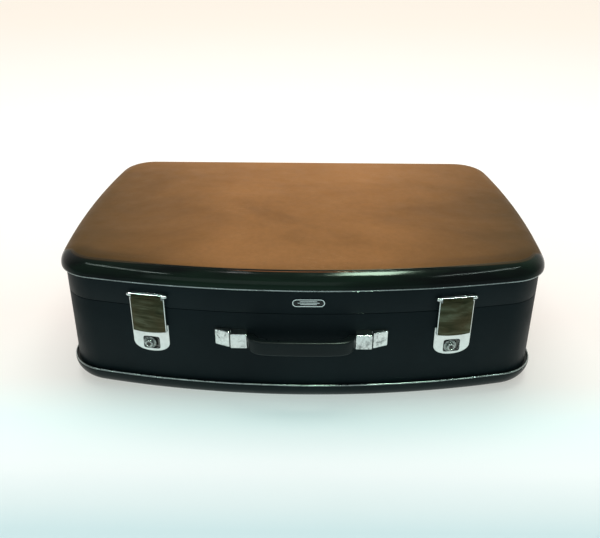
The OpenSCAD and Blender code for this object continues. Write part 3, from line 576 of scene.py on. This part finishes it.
def lid_panel():
    """Pan's inside, lip, rolled edge with the crease where the black ends, and the crowned, uneven top."""
    inner = RIM - LID_ROLL[0]
    inner_z = LID_LIP_Z + NEST
    inside = roll(inner, FIT_GAP, inner_z, LID_EDGE_Z - BOARD - inner_z, QUARTER[::-2])
    under = (0.03, 0.35, 0.65, 0.85, 0.95)
    rings = [ring(inner, LID_EDGE_Z - BOARD + LID_CROWN * (1 - k * k), k) for k in under]
    rings += [ring(o, z) for o, z in inside + [(FIT_GAP, LID_LIP_Z)]]
    inside_angles = np.zeros(len(rings))
    angles = np.concatenate([np.arange(0, 54, 3), np.arange(54, 68, 0.5), np.arange(68, 90, 3)])
    to_corner = smooth((FROM_MIDDLE - 130 * MM) / (110 * MM))
    crease = FRONT * (1 - 0.9 * to_corner)
    for a in angles:
        rise = 0.35 * MM * hump((a - CREASE + 3.2) / 1.8) - 0.75 * MM * hump((a - CREASE) / 1.5)
        c, s = math.cos(math.radians(a)), math.sin(math.radians(a))
        plain = ring(inner + LID_ROLL[0] * c, LID_LIP_Z + LID_ROLL[1] * s)
        creased = ring(inner + (LID_ROLL[0] + rise) * c, LID_LIP_Z + (LID_ROLL[1] + rise) * s)
        rings.append(plain + crease[:, None] * (creased - plain))
    drawn = [0.995, 0.985, 0.973, 0.96, 0.94, 0.915, 0.87, 0.81, 0.74]
    drawn += [0.66, 0.58, 0.5, 0.42, 0.34, 0.26, 0.18, 0.1, 0.03]
    for k in drawn:
        level = ring(inner, LID_EDGE_Z + (LID_CROWN - 0.1 * MM) * (1 - k * k), k)
        fade = min(1.0, (1 - k) * 12)
        for p in level:
            p[2] += fade * 0.55 * MM * (noise.noise(Vector((p[0] * 9, p[1] * 14, 3.1))) - 0.3)
        rings.append(level)
    skin = loft("lid_panel_skin", rings, LID_CLOTH, sharp=70)
    skin.data.materials.append(ROLL_CLOTH)

    roll_angle = np.concatenate([inside_angles, angles, np.full(len(drawn), 90.0)])[:, None]
    not_on_top = np.zeros(len(roll_angle) - len(drawn))
    inwards = np.concatenate([not_on_top, 1 - np.array(drawn)])[:, None] * HALF_D
    round_corner = smooth((FACING_FRONT + 0.1) / 0.6)
    ends_at = 20 + (CREASE + 3 - 4 * to_corner - 20) * round_corner
    width = 1.5 + 12 * to_corner
    dark = smooth(0.5 + (ends_at - roll_angle) / width).ravel()
    mark(skin, "dark", dark)
    x = ring(0, 0)[:, 0]
    # painted highlight along the crease, in the middle of the front
    middle = smooth((x + 90 * MM) / (40 * MM)) * smooth((80 * MM - x) / (40 * MM)) * (FACING_FRONT > 0.5)
    mark(skin, "painted_crease_highlight", (0.8 * middle * np.exp(-(((roll_angle - CREASE + 3.4) / 1.3) ** 2))).ravel())
    # painted shade: darkening on the top just inside the front edge, and a dark line along the crease
    shade = FRONT * (0.06 + 0.24 * to_corner) * np.exp(-((inwards / (6 * MM)) ** 2)) * (roll_angle > CREASE)
    shade += 0.7 * FRONT * (1 - 0.5 * to_corner) * np.exp(-(((roll_angle - CREASE - 1) / 3) ** 2))
    mark(skin, "painted_crease_shade", np.clip(shade, 0, 1).ravel())
    for face in skin.data.polygons:
        if dark[list(face.vertices)].max() > 0.02:
            face.material_index = 1
    return skin


def base_panel():
    inner = RIM - BASE_ROLL[0]
    gap_z = BASE_ROLL[1] - NEST - MM
    outside = [(o, BASE_ROLL[1] - z) for o, z in roll(inner, RIM, 0, BASE_ROLL[1], QUARTER[::-1])]
    inside = [(o, gap_z - z) for o, z in roll(inner, FIT_GAP, 0, gap_z - BOARD, QUARTER[::2])]
    levels = outside + [(FIT_GAP, BASE_ROLL[1])] + inside
    return loft("base_panel_skin", [ring(o, z) for o, z in levels], PAN_CLOTH, sharp=50)


piece(lid_panel(), "lid", "lid_cloth", "lid_panel")
piece(base_panel(), "case", "wall_cloth", "base_panel")

# ---------------------------------------------------------------- walls, piping and linings
LOCK_S = 178 * MM
CASE_W = 28 * MM
CASE_Z = (65.5 * MM, 96 * MM)
CATCH_GAP = 5 * MM
FAR_IN = 30 * MM


def tray_windows(gap):
    return [
        (s, (-CASE_W / 2 - gap, -FAR_IN, CASE_Z[0] - gap), (CASE_W / 2 + gap, FAR_IN, CASE_Z[1] + gap))
        for s in (-LOCK_S, LOCK_S)
    ]


def catch_gaps(low):
    high = SEAM_Z + 9 * MM
    return [(s, (-CATCH_GAP / 2, -FAR_IN, low), (CATCH_GAP / 2, FAR_IN, high)) for s in (-LOCK_S, LOCK_S)]


def strip(name, outer, inner, low, high, material, ease):
    """Upright strip that follows the plan, with its outer edges eased."""
    bevel = 0.3 * ease
    levels = [(inner, low), (outer - ease, low), (outer - bevel, low + bevel), (outer, low + ease)]
    levels += [(outer, high - ease), (outer - bevel, high - bevel), (outer - ease, high), (inner, high)]
    return loft(name, [ring(o, z) for o, z in levels], material, hoop=True, sharp=50)


wall_low = BASE_ROLL[1] - NEST
base_wall = strip("base_wall_skin", 0, -WALL, wall_low, SEAM_Z - SEAM_GAP / 2, WALL_CLOTH, 0.6 * MM)
cut(base_wall, tray_windows(0.1 * MM) + catch_gaps(CASE_Z[1]))
piece(base_wall, "case", "wall_cloth", "base_wall")
lid_wall_high = LID_LIP_Z + NEST - 0.5 * MM
lid_wall = strip("lid_wall_skin", 0, -WALL, SEAM_Z + SEAM_GAP / 2, lid_wall_high, WALL_CLOTH, 0.6 * MM)
piece(lid_wall, "lid", "wall_cloth", "lid_wall")

STRIP_LOW = 101 * MM
STRIP_HIGH = SEAM_Z + 8 * MM
strip_sides = (LINING - 0.1 * MM, -WALL - 1.5 * MM)
closing = strip("closing_strip_skin", *strip_sides, STRIP_LOW, STRIP_HIGH, NICKEL, 0.3 * MM)
cut(closing, catch_gaps(STRIP_LOW - MM))
piece(closing, "case", "nickel_steel", "closing_strip")


def piping(name, z, r):
    """Metal bead that wavers a little, as a pressed strip does."""
    rings = []
    for a in np.radians(np.arange(0, 360, 30)):
        level = ring(RIM - r - 0.1 * MM + r * math.cos(a), z + r * math.sin(a))
        for p in level:
            p[2] += 0.22 * MM * noise.noise(Vector((p[0] * 16, p[1] * 16, 7.7 + z)))
        rings.append(level)
    return loft(name, rings, PIPING, hoop=True, sharp=80)


BASE_BEAD_R = 0.95 * MM
LID_BEAD_R = 1.0 * MM
base_bead = piping("base_piping_bead", BASE_ROLL[1] + BASE_BEAD_R + 0.2 * MM, BASE_BEAD_R)
piece(base_bead, "case", "piping", "base_piping")
lid_bead = piping("lid_piping_bead", LID_LIP_Z - LID_BEAD_R - 0.05 * MM, LID_BEAD_R)
piece(lid_bead, "lid", "piping", "lid_piping")


def base_lining():
    inner = RIM - BASE_ROLL[0]
    round_z = wall_low - MM
    floor_z = BOARD + FIT_GAP
    outside = [(o, round_z - z) for o, z in roll(inner, LINING, 0, round_z - floor_z, QUARTER[::-2])]
    inner_round = roll(inner, LINING - SKIN, 0, round_z - floor_z - SKIN, QUARTER[::2])
    inside = [(o, round_z - z) for o, z in inner_round]
    top = STRIP_LOW - 0.5 * MM
    levels = outside + [(LINING, top), (LINING - SKIN, top)] + inside
    skin = loft("base_lining_skin", [ring(o, z) for o, z in levels], LINING_CLOTH, sharp=50)
    return cut(skin, tray_windows(0.3 * MM))


def lid_lining():
    inner = RIM - LID_ROLL[0]
    top_z = LID_EDGE_Z - BOARD - 0.4 * MM
    round_z = LID_LIP_Z + NEST
    low_z = STRIP_HIGH + 1.5 * MM
    inside = roll(inner, LINING - SKIN, round_z, top_z - SKIN - round_z, QUARTER[::-2])
    outside = roll(inner, LINING, round_z, top_z - round_z, QUARTER[::2])
    levels = inside + [(LINING - SKIN, low_z), (LINING, low_z)] + outside
    drawn = (0.05, 0.35, 0.65, 0.85, 0.93)
    rings = [ring(inner, top_z - SKIN + LID_CROWN * (1 - k * k), k) for k in drawn]
    rings += [ring(o, z) for o, z in levels]
    rings += [ring(inner, top_z + LID_CROWN * (1 - k * k), k) for k in drawn[::-1]]
    return loft("lid_lining_skin", rings, LINING_CLOTH, sharp=50)


piece(base_lining(), "case", "lining", "base_lining")
piece(lid_lining(), "lid", "lining", "lid_lining")

# ---------------------------------------------------------------- soft goods inside
def path_through(points, step=0.8 * MM, rounds=3):
    """Evenly spaced points along a line of straight stretches whose corners are cut smooth."""
    p = np.array(points, float)
    for _ in range(rounds):
        cuts = np.empty((2 * len(p) - 2, 3))
        cuts[0::2] = 0.75 * p[:-1] + 0.25 * p[1:]
        cuts[1::2] = 0.25 * p[:-1] + 0.75 * p[1:]
        p = np.concatenate([p[:1], cuts, p[-1:]])
    along = np.concatenate([[0], np.cumsum(np.linalg.norm(np.diff(p, axis=0), axis=1))])
    at = np.linspace(0, along[-1], round(along[-1] / step) + 1)
    return np.stack([np.interp(at, along, p[:, i]) for i in range(3)], 1)


def unit(v):
    return v / np.linalg.norm(v, axis=-1, keepdims=True)


def ribbon(name, path, across, width, thickness, material):
    """Woven band with rounded selvedges along a path. across points along its width."""
    along = unit(np.gradient(path, axis=0))
    across = np.broadcast_to(across, path.shape)
    across = unit(across - (across * along).sum(1, keepdims=True) * along)
    up = np.cross(along, across)
    turn = np.radians(np.arange(0, 360, 20))
    flat = np.sign(np.cos(turn)) * abs(np.cos(turn)) ** 0.35 * width / 2
    thick = np.sign(np.sin(turn)) * abs(np.sin(turn)) ** 0.6 * thickness / 2
    rings = [p + flat[:, None] * a + thick[:, None] * u for p, a, u in zip(path, across, up)]
    return loft(name, rings, material, sharp=75)


def stitching(name, stitches, r=0.3 * MM):
    """Short lengths of thread, each from its first point to its second."""
    verts, faces = [], []
    turn = np.radians(np.arange(0, 360, 60))
    for start, end in stitches:
        start, end = np.array(start), np.array(end)
        along = unit(end - start)
        across = unit(np.cross(along, (0.0, 0.0, 1.0)))
        up = np.cross(across, along)
        first = len(verts)
        levels = ((0, 0.3), (0.2, 0.9), (0.5, 1.0), (0.8, 0.9), (1, 0.3))
        for t, k in levels:
            middle = start + t * (end - start)
            verts += [middle + k * r * (math.cos(a) * across + math.sin(a) * up) for a in turn]
        n = len(turn)
        for j in range(len(levels) - 1):
            low = first + j * n
            high = low + n
            faces += [(low + i, low + (i + 1) % n, high + (i + 1) % n, high + i) for i in range(n)]
        last = first + (len(levels) - 1) * n
        faces += [tuple(first + i for i in range(n)), tuple(last + i for i in range(n))]
    return add_mesh(name, verts, faces, THREAD, 60)


POCKET_HALF = 235 * MM
POCKET_Y = (28 * MM, 178 * MM)
POCKET_TOP = 168.2 * MM
POCKET_LOW = 161.2 * MM
POCKET_SEAM = 166.6 * MM
POCKET_SAG = 2.2 * MM
PLEATS = 30
PLEAT_DEPTH = 2.3 * MM
ELASTIC_Y = 36 * MM
ELASTIC_Z = 162 * MM
BINDING_W = 9 * MM


def pocket():
    """Gathered cloth, sewn along the hinge side and both ends and drawn up by elastic near its mouth."""
    grid = np.empty((33, PLEATS * 16 + 1, 3))
    for j, y in enumerate(np.linspace(POCKET_Y[0], POCKET_Y[1], grid.shape[0])):
        v = (y - POCKET_Y[0]) / (POCKET_Y[1] - POCKET_Y[0])
        drawn = hump((y - ELASTIC_Y) / (4 * MM))
        sag = smooth((1 - v) / 0.45) * (1 - 0.5 * drawn)
        for i, u in enumerate(np.linspace(-1, 1, grid.shape[1])):
            at_end = smooth((1 - abs(u) - 0.03) / 0.06)
            drift = 1.3 * noise.noise(Vector((u * 7, v * 1.7, 1.3)))
            drift += 0.7 * noise.noise(Vector((u * 21, v * 3.1, 5.9)))
            fold = 1 + math.sin(math.pi * PLEATS * u + 2.8 * drift)
            size = 0.75 + 0.45 * noise.noise(Vector((u * 15, v * 1.6, 9.1)))
            size *= (0.06 + 0.94 * at_end) * (0.06 + 0.94 * smooth((0.94 - v) / 0.14)) * (1 - 0.5 * drawn)
            z = POCKET_TOP - POCKET_SAG * sag * at_end - PLEAT_DEPTH * size * fold - 0.6 * MM * drawn
            grid[j, i] = (u * POCKET_HALF, y, max(z, POCKET_LOW + 1.5 * MM * drawn))
    return cloth("pocket_cloth_gathered", grid, 0.4 * MM, POCKET)


def pocket_binding():
    """Tape sewn over the pocket's raw edges, down one end, along the hinge side and up the other."""
    x = POCKET_HALF - BINDING_W / 2 + MM
    y = POCKET_Y[1] - BINDING_W / 2 + MM
    corner = 9 * MM
    half = [(x, POCKET_Y[0], 0), (x, y - corner, 0), (x, y, 0), (x - corner, y, 0), (0, y, 0)]
    mirrored = [(-px, py, pz) for px, py, pz in half[-2::-1]]
    path = path_through(np.array(half + mirrored) + np.array([0, 0, POCKET_SEAM]), 3 * MM)
    across = np.cross(np.gradient(path, axis=0), (0, 0, 1))
    tape = ribbon("pocket_binding", path, across, BINDING_W, 0.9 * MM, WEBBING)
    seam = path[::2] - np.array([0, 0, 0.5 * MM])
    thread = stitching("pocket_stitching", list(zip(seam[:-1], seam[:-1] + 0.6 * np.diff(seam, axis=0))))
    return tape, thread


def pocket_elastic():
    """Braided elastic across the pocket's mouth, its ends sewn down under the binding."""
    path = []
    for u in np.linspace(-0.985, 0.985, 241):
        crest = ELASTIC_Z + 0.25 * MM * math.sin(math.pi * PLEATS * u)
        to_seam = 1 - smooth((1 - abs(u)) / 0.06)
        path.append((u * POCKET_HALF, ELASTIC_Y, crest + 4.3 * MM * to_seam))
    return ribbon("pocket_elastic", np.array(path), (0, 1, 0), 6 * MM, 0.8 * MM, WEBBING)


gathered = piece(pocket(), "lid", "pocket_cloth", "lid_pocket")
elastic = piece(pocket_elastic(), "lid", "webbing")
binding, binding_thread = pocket_binding()
piece(binding, "lid", "webbing")
piece(binding_thread, "lid", "webbing")

STRAP_W = 25 * MM
STRAP_T = 1.1 * MM
BUCKLE_Y = -20 * MM
TAIL_SKEW = 0.035


def strap_paths(x):
    """Strap with the buckle sewn in its end, then the plain strap threaded through it, as (y, z) in mm."""
    sewn = [
        (-141, 4.9), (-156, 4.9), (-157.6, 5.45), (-156, 6.0), (-142, 6.0), (-133, 5.6),
        (-120, 5.0), (-96, 5.0), (-84, 6.05), (-40, 6.1), (-28.6, 6.1), (-26.8, 6.2),
        (-26.3, 6.9), (-26.8, 7.65), (-29, 7.7), (-32, 7.65), (-36, 7.25), (-58, 7.25),
    ]
    plain = [
        (170, 4.9), (186, 4.9), (187.6, 5.45), (186, 6.0), (172, 6.0), (163, 5.6), (150, 5.0),
        (-6, 5.0), (-11, 5.4), (-14.5, 6.6), (-17.2, 7.65), (-22.4, 7.65), (-24.1, 7.0),
        (-24.9, 5.9), (-26.2, 4.95), (-30, 4.9), (-78, 4.9),
    ]

    def laid(line, skew):
        return path_through([(x + skew * min(0, y * MM - BUCKLE_Y), y * MM, z * MM) for y, z in line])

    return laid(sewn, 0.0), laid(plain, TAIL_SKEW)


def box_stitch(x):
    """Rectangle of stitches that holds the folded end of the sewn strap, with a row across its middle."""
    z = 7.85 * MM
    half_x = 9 * MM
    low = -55 * MM
    high = -38 * MM
    pitch = 2.9 * MM
    stitches = []
    for y in (low, (low + high) / 2, high):
        for i in range(6):
            left = x - half_x + i * 3.1 * MM
            stitches.append(((left, y, z), (left + 2 * MM, y, z)))
    for k in (-half_x, half_x):
        for i in range(6):
            y = low + i * pitch
            stitches.append(((x + k, y + 0.4 * MM, z), (x + k, y + 2.3 * MM, z)))
    return stitches


for side, x in (("left", -135 * MM), ("right", 135 * MM)):
    sewn_path, plain_path = strap_paths(x)
    across = (1, 0, 0)
    sewn = ribbon(f"strap_{side}_sewn", sewn_path, across, STRAP_W, STRAP_T, WEBBING)
    plain = ribbon(f"strap_{side}_plain", plain_path, across, STRAP_W, STRAP_T, WEBBING)
    thread = stitching(f"strap_{side}_stitching", box_stitch(x))
    piece(sewn, "case", "webbing")
    piece(plain, "case", "webbing", f"packing_strap_{side}")
    piece(thread, "case", "webbing")

STAY_W = 18 * MM
STAY_T = 1.1 * MM
STAY_BASE = np.array([62.5, 107]) * MM
STAY_LID = np.array([62.5, 138]) * MM
STAY_FOLD = np.array([150.6, 48]) * MM
STAY_SLACK = 20 * MM
STAY_END = 8 * MM
BASE_LEG_O = -7.6 * MM
LID_LEG_O = -9.0 * MM


def against_side(side, points, o):
    """Points given as (y, z), laid against the case's side, o outside the wall's outer face."""
    return np.array([(side * side_x(y, o), y, z) for y, z in points])


def square_to(path):
    """Across a tape that stands on edge against the side."""
    return np.cross(np.gradient(path, axis=0), (1, 0, 0))


def base_leg(name, side):
    """From the stud in the case to the fold, bowed so that it runs nearly straight when the lid is open."""
    chord = STAY_FOLD - STAY_BASE
    normal = unit(np.array([-chord[1], chord[0]]))
    points = []
    for t in np.linspace(-STAY_END / np.linalg.norm(chord), 1, 71):
        bow = STAY_SLACK * math.sin(math.pi * max(t, 0) ** 0.8) ** 1.5 if t < 1 else 0
        points.append(STAY_BASE + t * chord + bow * normal)
    path = against_side(side, points, BASE_LEG_O)
    return ribbon(name, path, square_to(path), STAY_W, STAY_T, TAPE)


def lid_leg(name, side):
    """From the half loop at the fold to the stud in the lid."""
    back = unit(STAY_LID - STAY_FOLD)
    ahead = unit(unit(STAY_FOLD - STAY_BASE) - back)
    mean_o = (BASE_LEG_O + LID_LEG_O) / 2
    r = abs(BASE_LEG_O - LID_LEG_O) / 2
    loop = []
    for a in np.radians(np.arange(-90, 91, 15)):
        y, z = STAY_FOLD + r * math.cos(a) * ahead
        loop.append((side * side_x(STAY_FOLD[0], mean_o - r * math.sin(a)), y, z))
    run = np.linspace(0.03, 1 + STAY_END / np.linalg.norm(STAY_LID - STAY_FOLD), 60)
    leg = against_side(side, [STAY_FOLD + t * (STAY_LID - STAY_FOLD) for t in run], LID_LEG_O)
    path = np.concatenate([loop, leg])
    turned = smooth(np.arange(len(path)) / (2.0 * len(loop)))[:, None]
    at_loop = np.array([0, -ahead[1], ahead[0]])
    on_leg = np.array([0, back[1], -back[0]])
    return ribbon(name, path, at_loop + turned * (on_leg - at_loop), STAY_W, STAY_T, TAPE)


for name, side in (("left", -1), ("right", 1)):
    upper = piece(lid_leg(f"stay_{name}_lid_leg", side), "lid", "webbing")
    lower = base_leg(f"stay_{name}_base_leg", side)
    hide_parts(f"stay_tape_{name}")
    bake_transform(lower)

# ---------------------------------------------------------------- painted reflection on the hasps, painted shade in the lock slots, badge and grip
HASP_W = 42 * MM
HASP_LOW = 88 * MM
HASP_TOP = 133.2 * MM
HASP_OUT = 6.2 * MM
HASP_CROWN = 0.7 * MM
HASP_CORNER = 1.5 * MM
HASP_FOOT_R = 125 * MM
BARREL = (-3.6 * MM, 136.5 * MM)
BARREL_R = 2.4 * MM
BARREL_HALF = 18 * MM
SLOT = (20.4 * MM, 16.6 * MM)
PLATE_OUT = 2 * MM
KNOB_Z = 72.5 * MM


def hasp_reflection_sheet(name, s):
    """Sheet of painted reflection on a hasp cover: it leaves a thin bright border at the sides and the foot."""
    inner_side = math.copysign(HASP_W / 2 - 0.8 * MM, -s)
    outer_side = math.copysign(HASP_W / 2 - 1.7 * MM, s)
    proud = 0.2 * MM
    columns = np.linspace(min(inner_side, outer_side), max(inner_side, outer_side), 25)
    levels = np.linspace(0, 1, 15)
    grid = np.empty((len(levels), len(columns), 3))
    for i, x in enumerate(columns):
        foot = HASP_LOW + HASP_FOOT_R - math.sqrt(HASP_FOOT_R**2 - x * x) + 0.9 * MM
        y = -HASP_OUT + HASP_CROWN * (x / (HASP_W / 2 - HASP_CORNER)) ** 2 - proud
        for j, t in enumerate(levels):
            grid[j, i] = on_front(s, x, y, foot + (HASP_TOP - 0.5 * MM - foot) * t)
    return cloth(name, grid, -0.5 * MM, PAINTED_REFLECTION_SHEET)


def barrel_reflection_sheet(name, s):
    """The same painted reflection on the front of the barrel; the bright metal shows along its top."""
    profile = [(-HASP_OUT - 0.15 * MM, HASP_TOP - 0.4 * MM), (-HASP_OUT - 0.1 * MM, BARREL[1] - 0.6 * MM)]
    for a in np.radians(np.arange(2, 41, 6)):
        profile.append((BARREL[0] - BARREL_R * math.cos(a), BARREL[1] + BARREL_R * math.sin(a)))
    columns = np.linspace(-BARREL_HALF, BARREL_HALF, 19)
    grid = np.array([[on_front(s, x, y, z) for x in columns] for y, z in profile])
    return cloth(name, grid, -0.2 * MM, PAINTED_REFLECTION_SHEET)


def slot_shade(name, s):
    """Black sheet of painted shade that squares off the lock's slot behind the knob."""
    turn = np.radians(np.arange(0, 360, 5)) + 0.001
    c, si = np.cos(turn), np.sin(turn)
    square = np.column_stack([
        np.sign(c) * abs(c) ** 0.3 * SLOT[0] / 2,
        np.sign(si) * abs(si) ** 0.3 * SLOT[1] / 2,
    ])
    r = SLOT[1] / 2 - 0.05 * MM
    slot = np.column_stack([np.sign(c) * (SLOT[0] - SLOT[1]) / 2 + r * c, r * si])
    proud = PLATE_OUT + 0.15 * MM
    levels = [(square, PLATE_OUT), (square, proud), (slot, proud), (slot, PLATE_OUT)]
    rings = [np.array([on_front(s, x, -out, KNOB_Z + z) for x, z in shape]) for shape, out in levels]
    return loft(name, rings, ENAMEL_AND_SLOT_SHADE, hoop=True)


SPRING_FROM = np.array([5.2, 4.4, 69.6]) * MM
SPRING_TO = np.array([12.8, 4.4, 69.6]) * MM
SPRING_FOLDS = 6
SPRING_SWING = 2.4 * MM
SPRING_W = 2 * MM
SPRING_T = 0.7 * MM


def lock_spring(name, s):
    """Folded strip spring between the lock's bolt and the side of its tray."""
    reach = SPRING_TO[0] - SPRING_FROM[0] - SPRING_T
    front = SPRING_FROM[1] - SPRING_W / 2
    back = SPRING_FROM[1] + SPRING_W / 2
    rings = []
    for fold in np.linspace(0, SPRING_FOLDS, 4 * SPRING_FOLDS + 1):
        left = SPRING_FROM[0] + reach * fold / SPRING_FOLDS
        right = left + SPRING_T
        z = SPRING_FROM[2] + SPRING_SWING * (2 * abs(fold % 2 - 1) - 1)
        section = [(left, front), (right, front), (right, back), (left, back)]
        rings.append(np.array([on_front(s, x, y, z) for x, y in section]))
    return loft(name, rings, DARK_STEEL)


for side, s in (("left", -LOCK_S), ("right", LOCK_S)):
    spring = lock_spring(f"lock_spring_{side}_strip", s)
    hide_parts(f"lock_spring_{side}")
    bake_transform(spring)
    # sheets of painted reflection on each hasp cover and barrel
    piece(hasp_reflection_sheet(f"hasp_reflection_sheet_{side}", s), f"{side}_hasp", "chrome")
    piece(barrel_reflection_sheet(f"hasp_barrel_face_{side}", s), f"{side}_hasp", "chrome")
    # painted shade in each lock slot
    piece(slot_shade(f"slot_shade_{side}", s), "case", "dark_steel")

BADGE = (8 * MM, 135 * MM)
BADGE_W = 37 * MM
BADGE_H = 9.6 * MM


def badge_field():
    """Black enamel inside the small plate's frame; the plate's plain bars stand out of it."""
    r = BADGE_H / 2 - 1.05 * MM
    straight = BADGE_W / 2 - 1.05 * MM - r
    turn = np.radians(np.arange(-90, 91, 10))
    right = [(straight + r * math.cos(a), r * math.sin(a)) for a in turn]
    shape = right + [(-x, -z) for x, z in right]
    rings = [
        [on_front(BADGE[0], x * k, -out, BADGE[1] + z * k) for x, z in shape]
        for out, k in ((0.5 * MM, 1.0), (0.9 * MM, 1.0), (1.0 * MM, 0.985))
    ]
    return loft("badge_enamel", [np.array(r) for r in rings], ENAMEL_AND_SLOT_SHADE)


piece(badge_field(), "lid", "chrome")

PIVOT = joints["handle_pivot"]["pos_m"]
GRIP_END = 61.4 * MM
GRIP_H = 18.6 * MM
GRIP_T = 10 * MM
GRIP_REACH = 13.6 * MM
GRIP_DROP = 1.7 * MM
STUB_OUT = 4.4 * MM
STUB_IN = 3.2 * MM
END_LOSS = 2.6 * MM


def rise(x, end):
    u = min(abs(x) / end, 1)
    return (1 - u**8) ** 0.6 * (1 - 0.1 * u * u)


def grip():
    """Moulded grip between the pivots, with a crisp upper edge in front and rounder ones elsewhere."""
    steps = 64
    rings = []
    for i in range(-steps, steps + 1):
        x = GRIP_END * math.sin(math.pi / 2 * i / steps)
        out = STUB_OUT + (GRIP_REACH + GRIP_T / 2 - STUB_OUT) * rise(x, GRIP_END)
        back = -STUB_IN + (GRIP_REACH - GRIP_T / 2 + STUB_IN) * rise(x, GRIP_END - 0.7 * GRIP_T)
        h = GRIP_H - END_LOSS * (1 - rise(x, GRIP_END))
        drop = GRIP_DROP * rise(x, GRIP_END)
        section = []
        for q, (side, up) in enumerate(((1, 1), (-1, 1), (-1, -1), (1, -1))):
            r = 2.4 * MM if q == 1 else 3.6 * MM
            for a in np.radians(90 * q + np.linspace(0, 90, 9)):
                section.append((
                    x,
                    PIVOT[1] - (out + back) / 2 + side * ((out - back) / 2 - r) + r * math.cos(a),
                    PIVOT[2] - drop + up * (h / 2 - r) + r * math.sin(a),
                ))
        rings.append(np.array(section))
    return loft("grip_moulding", rings, GRIP, sharp=60)


piece(grip(), "handle", "grip_plastic", "handle_grip")

# ---------------------------------------------------------------- floor, light and camera
def stage():
    """Large pale floor, a little luminous, cooler in front and warmer behind."""
    n = Nodes("studio_floor")
    depth = n.span(n.axis("Y"), -0.6, 3.4)
    glow = n.ramp(depth, [
        (0.046, (0.09, 0.27, 0.31)), (0.055, (0.24, 0.36, 0.38)), (0.068, (0.40, 0.47, 0.48)),
        (0.088, (0.37, 0.53, 0.52)), (0.108, (0.44, 0.44, 0.41)), (0.15, (0.48, 0.415, 0.38)),
        (0.30, (0.57, 0.57, 0.55)), (1.0, (0.67, 0.59, 0.50)),
    ])
    tone = n.mix(n.span(n.noise(5, 6, 0.7), 0.45, 0.8, 0, 0.2), (0.50, 0.50, 0.49), (0.42, 0.44, 0.42))
    n.link(glow, n.bsdf.inputs["Emission Color"])
    n.finish(tone, 0.9, n.bump(n.noise(18, 3, 0.5), 0.4 * MM, 0.3), Emission_Strength=1.0)
    bpy.ops.mesh.primitive_plane_add(size=60, location=(0, 0, 0))
    floor = bpy.context.active_object
    floor.name = "studio_floor"
    floor.data.materials.append(n.mat)


def light(name, place, aim, power, colour, size, size_y=None):
    data = bpy.data.lights.new(name, "AREA")
    data.energy = power
    data.color = colour
    data.shape = "RECTANGLE"
    data.size = size
    data.size_y = size_y or size
    obj = bpy.data.objects.new(name, data)
    obj.location = place
    obj.rotation_euler = (Vector(aim) - Vector(place)).to_track_quat("-Z", "Y").to_euler()
    bpy.context.scene.collection.objects.link(obj)
    return obj


def gloss_lamp(*settings):
    """Lamp that only shows in reflections."""
    light(*settings).visible_diffuse = False


def sky():
    """Soft studio: bright behind, dimmer in front."""
    world = bpy.data.worlds.new("studio")
    bpy.context.scene.world = world
    world.use_nodes = True
    tree = world.node_tree
    place = tree.nodes.new("ShaderNodeTexCoord")
    split = tree.nodes.new("ShaderNodeSeparateXYZ")
    ramp = tree.nodes.new("ShaderNodeValToRGB")
    tree.links.new(place.outputs["Generated"], split.inputs[0])
    tree.links.new(split.outputs["Y"], ramp.inputs["Fac"])
    points = ramp.color_ramp.elements
    points[0].position = 0.0
    points[0].color = (0.30, 0.32, 0.32, 1)
    points[1].position = 0.45
    points[1].color = (1.0, 0.96, 0.90, 1)
    tree.links.new(ramp.outputs["Color"], tree.nodes["Background"].inputs["Color"])
    tree.nodes["Background"].inputs["Strength"].default_value = 1.0


stage()
sky()
overhead = light("overhead", (0.0, 0.5, 2.4), (0, 0.1, 0), 38, (1.0, 0.975, 0.93), 2.2, 1.4)
overhead.visible_glossy = False
light("front_fill", (-0.5, -2.2, 1.3), (0, 0, 0.0), 8.5, (0.88, 0.98, 1.0), 1.8, 1.0)
for side in (-1, 1):
    lamp_place = (side * 1.25, -0.75, 1.9)
    lamp_aim = (side * 0.2, -0.2, 0.15)
    gloss_lamp("strip_lamp", lamp_place, lamp_aim, 10.0, (0.80, 1.0, 0.92), 1.0, 0.035)
gloss_lamp("green_lamp", (0.36, -0.22, 1.9), (0.06, -0.2, 0.15), 60.0, (0.72, 1.0, 0.76), 0.5, 0.30)
gloss_lamp("small_lamp", (-0.35, -0.2, 1.9), (-0.06, -0.2, 0.1), 1.2, (1.0, 1.0, 1.0), 0.12)

CAMERA_PLACE = Vector((5.2, -894.0, 514.5)) * MM
CAMERA_PITCH = math.radians(26.17)
CAMERA_YAW = math.radians(0.593)
CAMERA_ROLL = math.radians(0.276)
SENSOR_WIDTH = 36
FOCAL_LENGTH = 41.6
camera_data = bpy.data.cameras.new("camera")
camera_data.sensor_width = SENSOR_WIDTH
camera_data.lens = FOCAL_LENGTH
camera = bpy.data.objects.new("camera", camera_data)
camera.matrix_world = (
    Matrix.Translation(CAMERA_PLACE)
    @ Matrix.Rotation(CAMERA_YAW, 4, "Z")
    @ Matrix.Rotation(math.pi / 2 - CAMERA_PITCH, 4, "X")
    @ Matrix.Rotation(CAMERA_ROLL, 4, "Z")
)
bpy.context.scene.collection.objects.link(camera)
bpy.context.scene.camera = camera
bpy.context.scene.view_settings.view_transform = "Standard"
